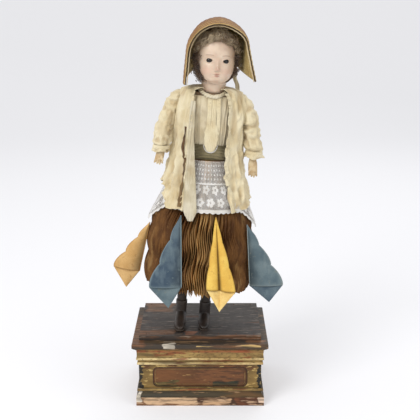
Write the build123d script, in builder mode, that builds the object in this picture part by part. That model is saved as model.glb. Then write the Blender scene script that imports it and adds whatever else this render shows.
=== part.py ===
from build123d import *

# Crank automaton: a dressed lady with a skirt of folded paper leaves stands on a gilded wooden
# case. Turning the crank at the back lifts her arms and turns her head through cams, levers
# and push rods. Millimetres, +Z up, origin on the floor under the middle of the case.
# The figure is modelled upright in its own frame, from the point between its feet, and
# STANDING sets it on the top board with the lean that it has taken with age.

import math
import os
from functools import lru_cache

# ---- case -------------------------------------------------------------------------------
CASE_WIDTH = 136.0
CASE_DEPTH = 100.0
WALL = 7.0
PLINTH_HEIGHT = 10.0
PLINTH_REACH = 3.5
COVE_HEIGHT = 7.5
LOWER_BEAD = 3.0
PANEL_TOP = 49.5
CARTOUCHE_WIDTH = 105.0
CARTOUCHE_HEIGHT = 23.5
CARTOUCHE_RADIUS = 5.5
CARTOUCHE_DEPTH = 0.8
CARTOUCHE_MID = 33.75
BRIGHT_BEAD = 2.5
FRIEZE_DROP = 11.0
FRIEZE_REACH = 2.0
WALL_TOP = 69.0
CORNICE_THICK = 7.0
CORNICE_REACH = 7.0
BOARD_THICK = 5.5
BOARD_WIDTH = 135.0
BOARD_SETBACK = 12.0
BLOCK_SIDE = 8.0
SCREW_RADIUS = 1.5
SCREW_HEAD = 3.0
SCREW_REACH = 14.0

# ---- crankshaft -------------------------------------------------------------------------
RUNNING = 0.05
SEAT = 0.3
SHAFT_RADIUS = 3.0
SHAFT_X = -12.0
SHAFT_Z = 32.0
BUSH_RADIUS = 5.0
BUSH_FLANGE = 7.5
BUSH_FLANGE_THICK = 1.5
THROW = 20.0
ARM_THICK = 3.0
ARM_HUB = 5.5
ARM_EYE = 4.0
HANDLE_PIN = 1.6
KNOB_RADIUS = 6.0
KNOB_LENGTH = 18.0
BEARING_FRONT = -36.0
BEARING_THICK = 6.0
BEARING_WIDTH = 16.0
CAM_THICK = 4.0
CAM_BASE = 11.5
ARM_CAM_LIFT = 5.2
HEAD_CAM_LIFT = 2.9
LEFT_CAM_Y = -20.0
RIGHT_CAM_Y = -10.0
HEAD_CAM_Y = 4.0

# ---- levers under the top ---------------------------------------------------------------
LEVER_THICK = 4.0
LEVER_PIVOT_Z = 51.2
LEVER_REACH = 29.5
PIVOT_RADIUS = 1.0
CHEEK_THICK = 2.7
CHEEK_WIDTH = 8.0
POST_SIDE = 5.0
LEVER_TAIL = 3.5
HEAD_LEVER_DROP = 0.8

# ---- figure: stance and body ------------------------------------------------------------
LEAN = 4.5
STAND_X = -7.5
STAND_Y = -4.0
LEFT_LEG_X = -15.8
RIGHT_LEG_X = 11.2
ANKLE_RADIUS = 4.6
CALF_RADIUS = 6.4
LEG_BORE = 2.6
ANKLE_Z = 14.0
CALF_Z = 48.0
BOOT_TOP = 26.0
BOOT_SHAFT = 6.6
BOOT_WALL_CLEAR = 0.1
HEEL_Y = 8.0
LEFT_TOE_Y = -34.0
RIGHT_TOE_Y = -28.0
HIP_BOTTOM = 112.0
HIP_TOP = 126.0
SOCKET_DEPTH = 6.0
TORSO_TOP = 260.0
TORSO_WALL = 2.5
TORSO_SPLIT = 5.0
SHOULDER_TOP = 264.0
NECK_X = 1.0
NECK_RADIUS = 12.0
SPINDLE_RADIUS = 1.9

# ---- rods and cranks in the body --------------------------------------------------------
ROD_RADIUS = 0.6
ARM_ROD_Y = -1.8
HEAD_ROD_Y = 1.8
AXLE_RADIUS = 1.25
AXLE_Z = 250.0
AXLE_END = 46.0
AXLE_LEVER = 3.0
SHOULDER_ARM = 7.0
SHOULDER_DROOP = 17.5
TIP_RADIUS = 1.3
BELL_PIVOT_Y = 7.4
BELL_PIVOT_Z = 226.0
BELL_RISE = 10.0
BELL_ARM_THICK = 3.6
TILLER_X = 11.0
TILLER_Y = 4.5
TILLER_PIN = 0.8
FORK_GAP = 0.7
FORK_DEPTH = 2.6
FORK_WALL = 1.2
BELL_HUB = 2.1
ROD_TOP_ROOM = 0.5

# ---- clothes ----------------------------------------------------------------------------
CLOTH = 1.6
LACE = 0.8
LAYER_GAP = 0.5
PLEATS = 44
PLEAT_DEPTH = 2.4
LACE_FOLDS = 22
LACE_FOLD_DEPTH = 0.6
JACKET_FOLDS = 13
JACKET_FOLD_DEPTH = 1.1
RING_POINTS = 88
ROUND = 2.0
SQUARISH = 3.0
WAIST_Z = 193.0
SASH_HEIGHT = 15.0
SASH = 3.6
GATHERS = 22
GATHER_DEPTH = 0.6
SKIRT_HEM = 52.0
LACE_HEM_FRONT = 144.0
LACE_HEM_SIDE = 120.0
JACKET_HEM = 145.0
TRIM_ROOM = 0.4
TRIM_TUBE = 1.9
SLEEVE_WALL = 1.1
PAPER = 0.6
RIBBON = 1.0
LOBE_BULGE = 0.16
CREASE = 0.45
STRAW = 1.4

# ---- head -------------------------------------------------------------------------------
HEAD_YAW = 6.0
FACE_HALF = 20.2
CHIN_Z = 275.5
CROWN_Z = 331.0
EYE_RADIUS = 3.4
EYE_Z = 298.7
EYE_SPACING = 17.0
EYE_DEPTH = 17.2
HAIR_THICK = 3.4

LEAN_ANGLE = math.radians(LEAN)
BOARD_TOP = WALL_TOP + CORNICE_THICK + BOARD_THICK
STANDING = Location((STAND_X, STAND_Y, BOARD_TOP), (0, LEAN, 0))
FLOOR = Location()
FRONT_Y = -CASE_DEPTH / 2
REAR_Y = CASE_DEPTH / 2

# half widths and half depths of the body and of each layer of cloth, by height
TORSO_LEVELS = [(HIP_TOP, 24.0, 15.0), (195.0, 20.0, 14.0), (240.0, 22.0, 14.0),
                (250.0, 23.0, 13.5), (TORSO_TOP, 23.0, 10.5)]
SKIRT_LEVELS = [(WAIST_Z, 25.0, 19.5), (180.0, 32.5, 28.0), (165.0, 39.5, 36.5),
                (144.0, 48.5, 47.0), (120.0, 58.0, 56.5), (85.0, 60.6, 59.5),
                (SKIRT_HEM, 62.0, 61.0)]
SKIRT_INNER = [(WAIST_Z, 22.9, 16.1), (180.0, 25.5, 19.5), (165.0, 29.0, 24.0),
               (144.0, 35.0, 32.0), (120.0, 41.0, 39.0), (85.0, 44.5, 43.5),
               (SKIRT_HEM, 46.0, 45.0)]
JACKET_LEVELS = [(270.0, 22.0, 18.6), (267.5, 29.5, 18.6), (262.0, 34.0, 18.6),
                 (255.0, 36.0, 19.0), (240.0, 36.6, 20.6), (220.0, 37.0, 22.9),
                 (200.0, 38.2, 26.5), (180.0, 41.5, 35.0), (165.0, 45.6, 43.2),
                 (155.0, 49.6, 48.2), (JACKET_HEM, 53.6, 52.6)]

os.makedirs("parts", exist_ok=True)


# ---- shared helpers ---------------------------------------------------------------------
def finish(piece, label, place=FLOOR):
    """Name a finished piece, set it in its place and write its file."""
    piece.part.label = label
    solid = piece.part.moved(place)
    solid.label = label
    export_step(solid, f"parts/{label}.step")


def oval(level, half_width, half_depth, middle=(0, 0), plane=Plane.XY):
    """A soft rectangle with quarter arcs at its corners, level mm along its plane's normal."""
    with BuildSketch(plane.offset(level)) as section:
        with Locations(middle):
            RectangleRounded(2 * half_width, 2 * half_depth,
                             0.96 * min(half_width, half_depth))
    return section.sketch


def outline(points, level=0.0, plane=Plane.XY):
    """A face bounded by straight lines through the points."""
    with BuildSketch(plane.offset(level)) as section:
        with BuildLine():
            Polyline(*points, close=True)
        make_face()
    return section.sketch


def side_plane(x):
    """An upright plane facing +X, with its own x along +Y."""
    return Plane(origin=(x, 0, 0), x_dir=(0, 1, 0), z_dir=(1, 0, 0))


def front_plane(y):
    """An upright plane facing -Y, with its own x along +X."""
    return Plane(origin=(0, y, 0), x_dir=(1, 0, 0), z_dir=(0, -1, 0))


def between(levels, height):
    """Half width and half depth at a height, in proportion between two levels."""
    rows = sorted(levels)
    for (z0, w0, d0), (z1, w1, d1) in zip(rows, rows[1:]):
        if z0 <= height <= z1:
            share = (height - z0) / (z1 - z0)
            return w0 + share * (w1 - w0), d0 + share * (d1 - d0)
    return rows[0][1:] if height < rows[0][0] else rows[-1][1:]


def wave_ring(half_width, half_depth, count=0, depth=0.0, power=ROUND, start=0.0, turn=360.0):
    """Points round a body of the given squareness, drawn in and out count times by depth."""
    steps = RING_POINTS if turn >= 360 else int(RING_POINTS * turn / 360)
    points = []
    for step in range(steps + (0 if turn >= 360 else 1)):
        angle = math.radians(start + turn * step / steps)
        inset = depth * (1 - math.cos(count * angle)) / 2
        across, along = math.cos(angle), math.sin(angle)
        points.append((math.copysign(abs(across) ** (2 / power), across) * (half_width - inset),
                       math.copysign(abs(along) ** (2 / power), along) * (half_depth - inset)))
    return points


def body_loft(levels, power=ROUND, mode=Mode.ADD):
    """A body through rings at (height, half width, half depth)."""
    loft([outline(wave_ring(w, d, power=power), z) for z, w, d in levels], ruled=True, mode=mode)


def cloth_ring(levels, inner_levels, count=0, depth=0.0, power=ROUND):
    """A folded tube of cloth: an outer skin with folds, less a smooth inner one."""
    with BuildPart() as tube:
        loft([outline(wave_ring(w, d, count, depth, power), z) for z, w, d in levels],
             ruled=True)
        body_loft(inner_levels, power, Mode.SUBTRACT)
    return tube


# ---- the case ---------------------------------------------------------------------------
def make_case_boards():
    """Bottom board, four walls, glue blocks, cornice slab and top board."""
    plinth_width = CASE_WIDTH + 2 * PLINTH_REACH
    plinth_depth = CASE_DEPTH + PLINTH_REACH
    screw_x = CASE_WIDTH / 2 - WALL - BLOCK_SIDE / 2
    screw_y = CASE_DEPTH / 2 - WALL - BLOCK_SIDE / 2
    corners = [(sx * screw_x, sy * screw_y) for sx in (-1, 1) for sy in (-1, 1)]
    with BuildPart() as bottom:
        with BuildSketch():
            with Locations((0, -PLINTH_REACH / 2)):
                Rectangle(plinth_width, plinth_depth)
        extrude(amount=PLINTH_HEIGHT)
        chamfer(bottom.edges().group_by(Axis.Z)[-1].filter_by(Axis.X).sort_by(Axis.Y)[0], 0.6)
        with Locations(Plane.XY.rotated((180, 0, 0))):
            with Locations([(x, -y) for x, y in corners]):
                CounterSinkHole(SCREW_RADIUS + RUNNING, SCREW_HEAD + RUNNING)
    finish(bottom, "bottom_board")

    with BuildPart() as screws:
        for x, y in corners:
            with BuildSketch(Plane.XY.offset(RUNNING)):
                with Locations((x, y)):
                    Circle(SCREW_HEAD - RUNNING)
            with BuildSketch(Plane.XY.offset(SCREW_HEAD - SCREW_RADIUS)):
                with Locations((x, y)):
                    Circle(SCREW_RADIUS)
            loft()
            with BuildSketch(Plane.XY.offset(SCREW_HEAD - SCREW_RADIUS)):
                with Locations((x, y)):
                    Circle(SCREW_RADIUS)
            extrude(amount=SCREW_REACH)
    finish(screws, "bottom_screws")

    with BuildPart() as blocks:
        with BuildSketch(Plane.XY.offset(PLINTH_HEIGHT)):
            with Locations(*corners):
                Rectangle(BLOCK_SIDE, BLOCK_SIDE)
        extrude(amount=WALL_TOP - PLINTH_HEIGHT)
        with BuildSketch(Plane.XY.offset(PLINTH_HEIGHT)):
            with Locations(*corners):
                Circle(SCREW_RADIUS + RUNNING)
        extrude(amount=SCREW_REACH - PLINTH_HEIGHT + SCREW_HEAD, mode=Mode.SUBTRACT)
    finish(blocks, "corner_blocks")

    wall_height = WALL_TOP - PLINTH_HEIGHT
    with BuildPart() as front:
        with BuildSketch(front_plane(FRONT_Y + WALL)):
            with Locations((0, PLINTH_HEIGHT + wall_height / 2)):
                Rectangle(CASE_WIDTH, wall_height)
        extrude(amount=WALL)
        with BuildSketch(front_plane(FRONT_Y)):
            with Locations((0, CARTOUCHE_MID)):
                RectangleRounded(CARTOUCHE_WIDTH, CARTOUCHE_HEIGHT, CARTOUCHE_RADIUS)
        extrude(amount=-CARTOUCHE_DEPTH, mode=Mode.SUBTRACT)
    finish(front, "front_panel")

    with BuildPart() as back:
        with BuildSketch(front_plane(REAR_Y)):
            with Locations((0, PLINTH_HEIGHT + wall_height / 2)):
                Rectangle(CASE_WIDTH, wall_height)
            with Locations((SHAFT_X, SHAFT_Z)):
                Circle(BUSH_RADIUS + RUNNING, mode=Mode.SUBTRACT)
        extrude(amount=WALL)
    finish(back, "back_panel")

    for name, side in (("left_panel", -1), ("right_panel", 1)):
        with BuildPart() as wall:
            with BuildSketch(Plane.XY.offset(PLINTH_HEIGHT)):
                with Locations((side * (CASE_WIDTH - WALL) / 2, 0)):
                    Rectangle(WALL, CASE_DEPTH - 2 * WALL)
            extrude(amount=wall_height)
        finish(wall, name)


def moulding(profile, name):
    """A moulding that runs round the front and both sides, its profile given as reach, height."""
    half, front, rear = CASE_WIDTH / 2, FRONT_Y, REAR_Y
    with BuildPart() as strip:
        with BuildLine() as route:
            Polyline((-half, rear, 0), (-half, front, 0), (half, front, 0), (half, rear, 0))
        with BuildSketch(Plane(origin=(-half, rear, 0), x_dir=(-1, 0, 0), z_dir=(0, 1, 0))):
            with BuildLine():
                profile()
            make_face()
        sweep(path=route.wire(), transition=Transition.RIGHT)
    finish(strip, name)


def base_profile():
    """Cove that sinks from the plinth to the wall, under a half round bead."""
    low, high = PLINTH_HEIGHT, PLINTH_HEIGHT + COVE_HEIGHT
    top = high + LOWER_BEAD
    bead = LOWER_BEAD / 2
    Polyline((0, top), (0, low), (PLINTH_REACH - 0.3, low), (PLINTH_REACH - 0.3, low + 1))
    ThreePointArc((PLINTH_REACH - 0.3, low + 1), (1.3, low + 3), (0.8, high))
    ThreePointArc((0.8, high), (0.8 + bead, high + bead), (0.8, top))
    Line((0.8, top), (0, top))


def upper_profile():
    """Bright bead, small bead and the frieze under the cornice."""
    frieze = WALL_TOP - FRIEZE_DROP
    bead = BRIGHT_BEAD / 2
    low, second = PANEL_TOP, PANEL_TOP + 6
    Polyline((0, low), (0.6, low))
    ThreePointArc((0.6, low), (0.6 + bead, low + bead), (0.6, low + 2 * bead))
    Line((0.6, low + 2 * bead), (0.9, second))
    ThreePointArc((0.9, second), (0.9 + bead, second + bead), (0.9, frieze))
    Polyline((0.9, frieze), (FRIEZE_REACH, frieze), (FRIEZE_REACH, WALL_TOP - 2.4))
    Polyline((FRIEZE_REACH, WALL_TOP - 2.4), (FRIEZE_REACH + 2, WALL_TOP), (0, WALL_TOP), (0, low))


def rod_places():
    """Where the three push rods stand in the figure's frame, with each rod's name."""
    return {"left_arm_rod": (LEFT_LEG_X, ARM_ROD_Y), "right_arm_rod": (RIGHT_LEG_X, ARM_ROD_Y),
            "head_rod": (RIGHT_LEG_X, HEAD_ROD_Y)}


def world_x(local_x, local_z):
    """World x of a point of the figure's frame."""
    return STAND_X + local_x * math.cos(LEAN_ANGLE) + local_z * math.sin(LEAN_ANGLE)


def depth_below(local_x, world_z):
    """The figure's own height of the point above local_x that lies at a world height."""
    return (world_z - BOARD_TOP + local_x * math.sin(LEAN_ANGLE)) / math.cos(LEAN_ANGLE)


@lru_cache(maxsize=None)
def guide_bores(low, high, room=RUNNING):
    """Slim cylinders that drill the rods' guide holes, in the figure's frame."""
    with BuildPart() as drills:
        with BuildSketch(Plane.XY.offset(low)):
            with Locations(*rod_places().values()):
                Circle(ROD_RADIUS + room)
        extrude(amount=high - low)
    return drills.part


def make_cornice():
    """Cornice slab with its stepped lip, and the top board, both drilled for the rods."""
    drills = guide_bores(-30.0, 30.0).moved(STANDING)
    lip = 2.4
    with BuildPart() as slab:
        with BuildSketch(Plane.XY.offset(WALL_TOP)):
            with Locations((0, -CORNICE_REACH / 2)):
                Rectangle(CASE_WIDTH + 2 * CORNICE_REACH, CASE_DEPTH + CORNICE_REACH)
        extrude(amount=CORNICE_THICK)
        outer = slab.edges().group_by(Axis.Z)[0]
        chamfer(outer.filter_by(Axis.X).sort_by(Axis.Y)[:1] + outer.filter_by(Axis.Y), lip)
        upper = slab.edges().group_by(Axis.Z)[-1]
        fillet(upper.filter_by(Axis.X).sort_by(Axis.Y)[:1] + upper.filter_by(Axis.Y), lip / 2)
        add(drills, mode=Mode.SUBTRACT)
    finish(slab, "cornice_slab")
    with BuildPart() as board:
        with BuildSketch(Plane.XY.offset(WALL_TOP + CORNICE_THICK)):
            low_y = FRONT_Y - CORNICE_REACH + BOARD_SETBACK
            with Locations((0, (low_y + REAR_Y) / 2)):
                Rectangle(BOARD_WIDTH, REAR_Y - low_y)
        extrude(amount=BOARD_THICK)
        add(drills, mode=Mode.SUBTRACT)
    finish(board, "raised_top_board")


# ---- crankshaft and levers --------------------------------------------------------------
def bar_y(x, z, radius, y0, y1, bore=0.0):
    """A round bar or ring along Y at x, z between y0 and y1, as a sketch extruded."""
    with BuildPart() as bar:
        with BuildSketch(front_plane(y1)):
            with Locations((x, z)):
                Circle(radius)
                if bore:
                    Circle(bore, mode=Mode.SUBTRACT)
        extrude(amount=y1 - y0)
    return bar


def make_crankshaft():
    """Shaft, its bush and front block, the crank arm with its pin, and the turned knob."""
    flange_y = REAR_Y + BUSH_FLANGE_THICK
    arm_y = flange_y + 1.0
    shaft_end = arm_y + ARM_THICK + 1.5
    front_y = BEARING_FRONT - 1
    finish(bar_y(SHAFT_X, SHAFT_Z, SHAFT_RADIUS, front_y, shaft_end), "camshaft")

    with BuildPart() as bush:
        add(bar_y(SHAFT_X, SHAFT_Z, BUSH_RADIUS, REAR_Y - WALL - 1, flange_y))
        add(bar_y(SHAFT_X, SHAFT_Z, BUSH_FLANGE, REAR_Y, flange_y))
        add(bar_y(SHAFT_X, SHAFT_Z, SHAFT_RADIUS + RUNNING, 0, flange_y + 9),
            mode=Mode.SUBTRACT)
    finish(bush, "crank_bush")

    block_top = SHAFT_Z + SHAFT_RADIUS + 5
    with BuildPart() as block:
        with BuildSketch(front_plane(BEARING_FRONT + BEARING_THICK)):
            with Locations((SHAFT_X, (PLINTH_HEIGHT + block_top) / 2)):
                Rectangle(BEARING_WIDTH, block_top - PLINTH_HEIGHT)
            with Locations((SHAFT_X, SHAFT_Z)):
                Circle(SHAFT_RADIUS + RUNNING, mode=Mode.SUBTRACT)
        extrude(amount=BEARING_THICK)
    finish(block, "front_bearing_block")

    knob_start = arm_y + ARM_THICK + 1
    pin_end = knob_start + KNOB_LENGTH + 0.5
    with BuildPart() as arm:
        with BuildSketch(front_plane(arm_y + ARM_THICK)):
            with Locations((SHAFT_X, SHAFT_Z)):
                Circle(ARM_HUB)
            with Locations((SHAFT_X, SHAFT_Z - THROW)):
                Circle(ARM_EYE)
            make_hull()
            with Locations((SHAFT_X, SHAFT_Z)):
                Circle(SHAFT_RADIUS + RUNNING / 2, mode=Mode.SUBTRACT)
        extrude(amount=ARM_THICK)
        add(bar_y(SHAFT_X, SHAFT_Z - THROW, HANDLE_PIN, arm_y + 1, pin_end + 1))
        add(bar_y(SHAFT_X, SHAFT_Z - THROW, HANDLE_PIN + 1, pin_end, pin_end + 1.2))
    finish(arm, "crank_arm")

    with BuildPart() as knob:
        with BuildSketch(side_plane(0)):
            with BuildLine():
                bore = HANDLE_PIN + RUNNING
                waist, mid = KNOB_RADIUS - 2.2, knob_start + KNOB_LENGTH / 3
                end = knob_start + KNOB_LENGTH
                Polyline((end, bore), (knob_start, bore), (knob_start, waist + 1))
                Spline((knob_start, waist + 1), (mid - 2, waist), ((mid + end) / 2, KNOB_RADIUS),
                       (end, bore + 1))
                Line((end, bore + 1), (end, bore))
            make_face()
        revolve(axis=Axis.Y)
    finish(knob, "crank_knob", Location((SHAFT_X, 0, SHAFT_Z - THROW)))


def make_cam(name, y, lift):
    """A round cam set off its shaft's centre, its high side up at rest."""
    with BuildPart() as cam:
        with BuildSketch(front_plane(y + CAM_THICK / 2)):
            with Locations((SHAFT_X, SHAFT_Z)):
                Circle(CAM_BASE)
            with Locations((SHAFT_X, SHAFT_Z + CAM_BASE / 2 + lift)):
                Circle(CAM_BASE / 2)
            make_hull()
            with Locations((SHAFT_X, SHAFT_Z)):
                Circle(SHAFT_RADIUS + RUNNING / 2, mode=Mode.SUBTRACT)
        extrude(amount=CAM_THICK)
    finish(cam, name)


def lever_layout():
    """For each lever: its name, its rod, its plane's y and the y that its pad reaches to."""
    arm_y, head_y = STAND_Y + ARM_ROD_Y, STAND_Y + HEAD_ROD_Y
    return [("left_arm_lever", "left_arm_rod", LEFT_CAM_Y, arm_y + 2.8, -1),
            ("right_arm_lever", "right_arm_rod", RIGHT_CAM_Y, arm_y + 1.2, 1),
            ("head_lever", "head_rod", HEAD_CAM_Y, head_y - 1.2, 1)]


def lever_ends(rod, side):
    """World x of the rod's foot, of the lever's pivot and of its cam end."""
    local_x = rod_places()[rod][0]
    foot_x = world_x(local_x, depth_below(local_x, LEVER_PIVOT_Z + LEVER_THICK / 2))
    return foot_x, foot_x + side * LEVER_REACH, SHAFT_X - side * 6.0


def make_levers():
    """Three levers with their brackets, pivot pins and rest posts."""
    top, low = LEVER_PIVOT_Z + LEVER_THICK / 2, LEVER_PIVOT_Z - LEVER_THICK / 2
    bracket_solids, pin_solids, post_solids = [], [], []
    for name, rod, y, pad_y, side in lever_layout():
        foot_x, pivot_x, cam_x = lever_ends(rod, side)
        tail_x = pivot_x + side * LEVER_TAIL
        with BuildPart() as lever:
            with BuildSketch(Plane.XY.offset(low)):
                with Locations(((tail_x + cam_x) / 2, y)):
                    Rectangle(abs(tail_x - cam_x), LEVER_THICK)
                near = y + LEVER_THICK / 2 if pad_y > y else y - LEVER_THICK / 2
                with Locations((foot_x, (near + pad_y) / 2)):
                    Rectangle(7, abs(pad_y - near))
            extrude(amount=LEVER_THICK)
            with BuildSketch(front_plane(y + LEVER_THICK)):
                with Locations((pivot_x, LEVER_PIVOT_Z)):
                    Circle(PIVOT_RADIUS + RUNNING)
            extrude(amount=2 * LEVER_THICK, mode=Mode.SUBTRACT)
        finish(lever, name)

        cheek = LEVER_THICK / 2 + SEAT + CHEEK_THICK / 2
        with BuildPart() as bracket:
            with BuildSketch(Plane.XY.offset(low - 3)):
                with Locations((pivot_x, y - cheek), (pivot_x, y + cheek)):
                    Rectangle(CHEEK_WIDTH, CHEEK_THICK)
            extrude(amount=WALL_TOP - low + 3)
            with BuildSketch(Plane.XY.offset(WALL_TOP - 3)):
                with Locations((pivot_x, y)):
                    Rectangle(CHEEK_WIDTH, 2 * cheek)
            extrude(amount=3)
            with BuildSketch(front_plane(y + 2 * cheek)):
                with Locations((pivot_x, LEVER_PIVOT_Z)):
                    Circle(PIVOT_RADIUS + RUNNING / 2)
            extrude(amount=4 * cheek, mode=Mode.SUBTRACT)
        bracket_solids.append(bracket.part)
        reach = cheek + CHEEK_THICK / 2 + 0.5
        pin_solids.append(bar_y(pivot_x, LEVER_PIVOT_Z, PIVOT_RADIUS, y - reach, y + reach).part)

        drop = HEAD_LEVER_DROP if name == "head_lever" else 0.0
        post_x = foot_x + side * LEVER_REACH / 2
        with BuildPart() as post:
            with BuildSketch(Plane.XY.offset(PLINTH_HEIGHT)):
                with Locations((post_x, y)):
                    Rectangle(POST_SIDE, POST_SIDE)
            extrude(amount=low - SEAT - drop - PLINTH_HEIGHT)
        post_solids.append(post.part)
    for label, solids in (("lever_brackets", bracket_solids), ("lever_pivot_pins", pin_solids),
                          ("lever_rest_posts", post_solids)):
        with BuildPart() as group:
            add(solids)
        finish(group, label)


def make_rods():
    """Three push rods from the levers up through the legs to the body's cranks."""
    foot = LEVER_PIVOT_Z + LEVER_THICK / 2 + SEAT
    arm_tip = AXLE_Z - SHOULDER_ARM * math.sin(math.radians(SHOULDER_DROOP)) - TIP_RADIUS
    tops = {"left_arm_rod": arm_tip, "right_arm_rod": arm_tip,
            "head_rod": BELL_PIVOT_Z - TIP_RADIUS}
    for name, (x, y) in rod_places().items():
        start = depth_below(x, foot)
        with BuildPart() as rod:
            with BuildSketch(Plane.XY.offset(start)):
                with Locations((x, y)):
                    Circle(ROD_RADIUS)
            extrude(amount=tops[name] - ROD_TOP_ROOM - start)
        finish(rod, name, STANDING)


# ---- legs and body ----------------------------------------------------------------------
def make_leg_and_boot(side, x, toe_y):
    """A turned leg with a bore for the rods, and the boot that it stands in."""
    with BuildPart() as leg:
        for level, radius in ((ANKLE_Z, ANKLE_RADIUS), (CALF_Z, CALF_RADIUS),
                              (HIP_BOTTOM + SOCKET_DEPTH, CALF_RADIUS)):
            with BuildSketch(Plane.XY.offset(level)):
                with Locations((x, 0)):
                    Circle(radius)
        loft(ruled=True)
        with BuildSketch(Plane.XY.offset(ANKLE_Z)):
            with Locations((x, 0)):
                Circle(LEG_BORE)
        extrude(amount=HIP_BOTTOM + SOCKET_DEPTH - ANKLE_Z, mode=Mode.SUBTRACT)
    finish(leg, f"{side}_leg", STANDING)

    floor = Plane(origin=(0, 0, 0), z_dir=(-math.sin(LEAN_ANGLE), 0, math.cos(LEAN_ANGLE)))
    length = HEEL_Y - toe_y
    with BuildPart() as boot:
        # the foot, from heel to toe, as soft sections that follow one another forward
        stations = ((0.0, 5.0, 9.0), (0.3, 6.2, 12.0), (0.6, 6.4, 8.0), (0.85, 5.4, 5.0),
                    (1.0, 2.6, 3.0))
        loft([oval(length * share - HEEL_Y, wide, tall, (x, 0), Plane.XZ)
              for share, wide, tall in stations])
        loft([oval(0, BOOT_SHAFT, BOOT_SHAFT, (x, 0)),
              oval(BOOT_TOP, BOOT_SHAFT - 0.4, BOOT_SHAFT - 0.4, (x, 0))])
        with BuildSketch(Plane.XY.offset(ANKLE_Z - BOOT_WALL_CLEAR)):
            with Locations((x, 0)):
                Circle(ANKLE_RADIUS + BOOT_WALL_CLEAR)
        with BuildSketch(Plane.XY.offset(BOOT_TOP + 1)):
            rise = (BOOT_TOP + 1 - ANKLE_Z) / (CALF_Z - ANKLE_Z)
            with Locations((x, 0)):
                Circle(ANKLE_RADIUS + rise * (CALF_RADIUS - ANKLE_RADIUS) + BOOT_WALL_CLEAR)
        loft(mode=Mode.SUBTRACT)
        add(guide_bores(-20.0, BOOT_TOP), mode=Mode.SUBTRACT)
        split(bisect_by=floor, keep=Keep.TOP)
    finish(boot, f"{side}_boot", STANDING)


def make_body():
    """Hip block, front and back body shells and the shoulder block."""
    with BuildPart() as hip:
        _, width, deep = TORSO_LEVELS[0]
        body_loft([(HIP_BOTTOM, width, deep), (HIP_TOP, width, deep)], SQUARISH)
        with BuildSketch(Plane.XY.offset(HIP_BOTTOM)):
            with Locations((LEFT_LEG_X, 0), (RIGHT_LEG_X, 0)):
                Circle(CALF_RADIUS + RUNNING)
        extrude(amount=SOCKET_DEPTH, mode=Mode.SUBTRACT)
        add(guide_bores(HIP_BOTTOM, HIP_TOP + 1), mode=Mode.SUBTRACT)
    finish(hip, "hip_block", STANDING)

    cut = Plane(origin=(0, TORSO_SPLIT, 0), z_dir=(0, 1, 0))
    for label, keep in (("torso_front_shell", Keep.BOTTOM), ("torso_back_shell", Keep.TOP)):
        with BuildPart() as shell:
            body_loft(TORSO_LEVELS, SQUARISH)
            body_loft([(z, w - TORSO_WALL, d - TORSO_WALL) for z, w, d in TORSO_LEVELS],
                      SQUARISH, Mode.SUBTRACT)
            add(axle_bore(RUNNING), mode=Mode.SUBTRACT)
            if keep is Keep.TOP:
                add(bell_bearing())
                body_loft(TORSO_LEVELS, SQUARISH, Mode.INTERSECT)
            split(bisect_by=cut, keep=keep)
        finish(shell, label, STANDING)

    with BuildPart() as block:
        _, width, deep = TORSO_LEVELS[-1]
        body_loft([(TORSO_TOP, width, deep), (SHOULDER_TOP, width - 2, deep - 0.5)], SQUARISH)
        with BuildSketch(Plane.XY.offset(TORSO_TOP)):
            with Locations((NECK_X, 0)):
                Circle(SPINDLE_RADIUS + RUNNING)
        extrude(amount=SHOULDER_TOP - TORSO_TOP, mode=Mode.SUBTRACT)
    finish(block, "shoulder_block", STANDING)


def axle_bore(room):
    """The line of both shoulder axles, as a cylinder that drills what they pass through."""
    with BuildPart() as drill:
        with BuildSketch(side_plane(-80)):
            with Locations((TORSO_SPLIT, AXLE_Z)):
                Circle(AXLE_RADIUS + room)
        extrude(amount=160)
    return drill.part


def bell_bearing():
    """Two cheeks and a pin on the back shell that carry the bell crank."""
    wall_y = between(TORSO_LEVELS, BELL_PIVOT_Z)[1] - TORSO_WALL / 2
    near = BELL_PIVOT_Y - 2.2
    cheeks = BELL_ARM_THICK / 2 + SEAT
    with BuildPart() as bearing:
        for start in (RIGHT_LEG_X - cheeks - 2, RIGHT_LEG_X + cheeks):
            with BuildSketch(side_plane(start)):
                with Locations(((near + wall_y) / 2, BELL_PIVOT_Z)):
                    Rectangle(wall_y - near, 5)
            extrude(amount=2)
        with BuildSketch(side_plane(RIGHT_LEG_X - cheeks - 1)):
            with Locations((BELL_PIVOT_Y, BELL_PIVOT_Z)):
                Circle(PIVOT_RADIUS)
        extrude(amount=2 * cheeks + 2)
    return bearing.part


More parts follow.
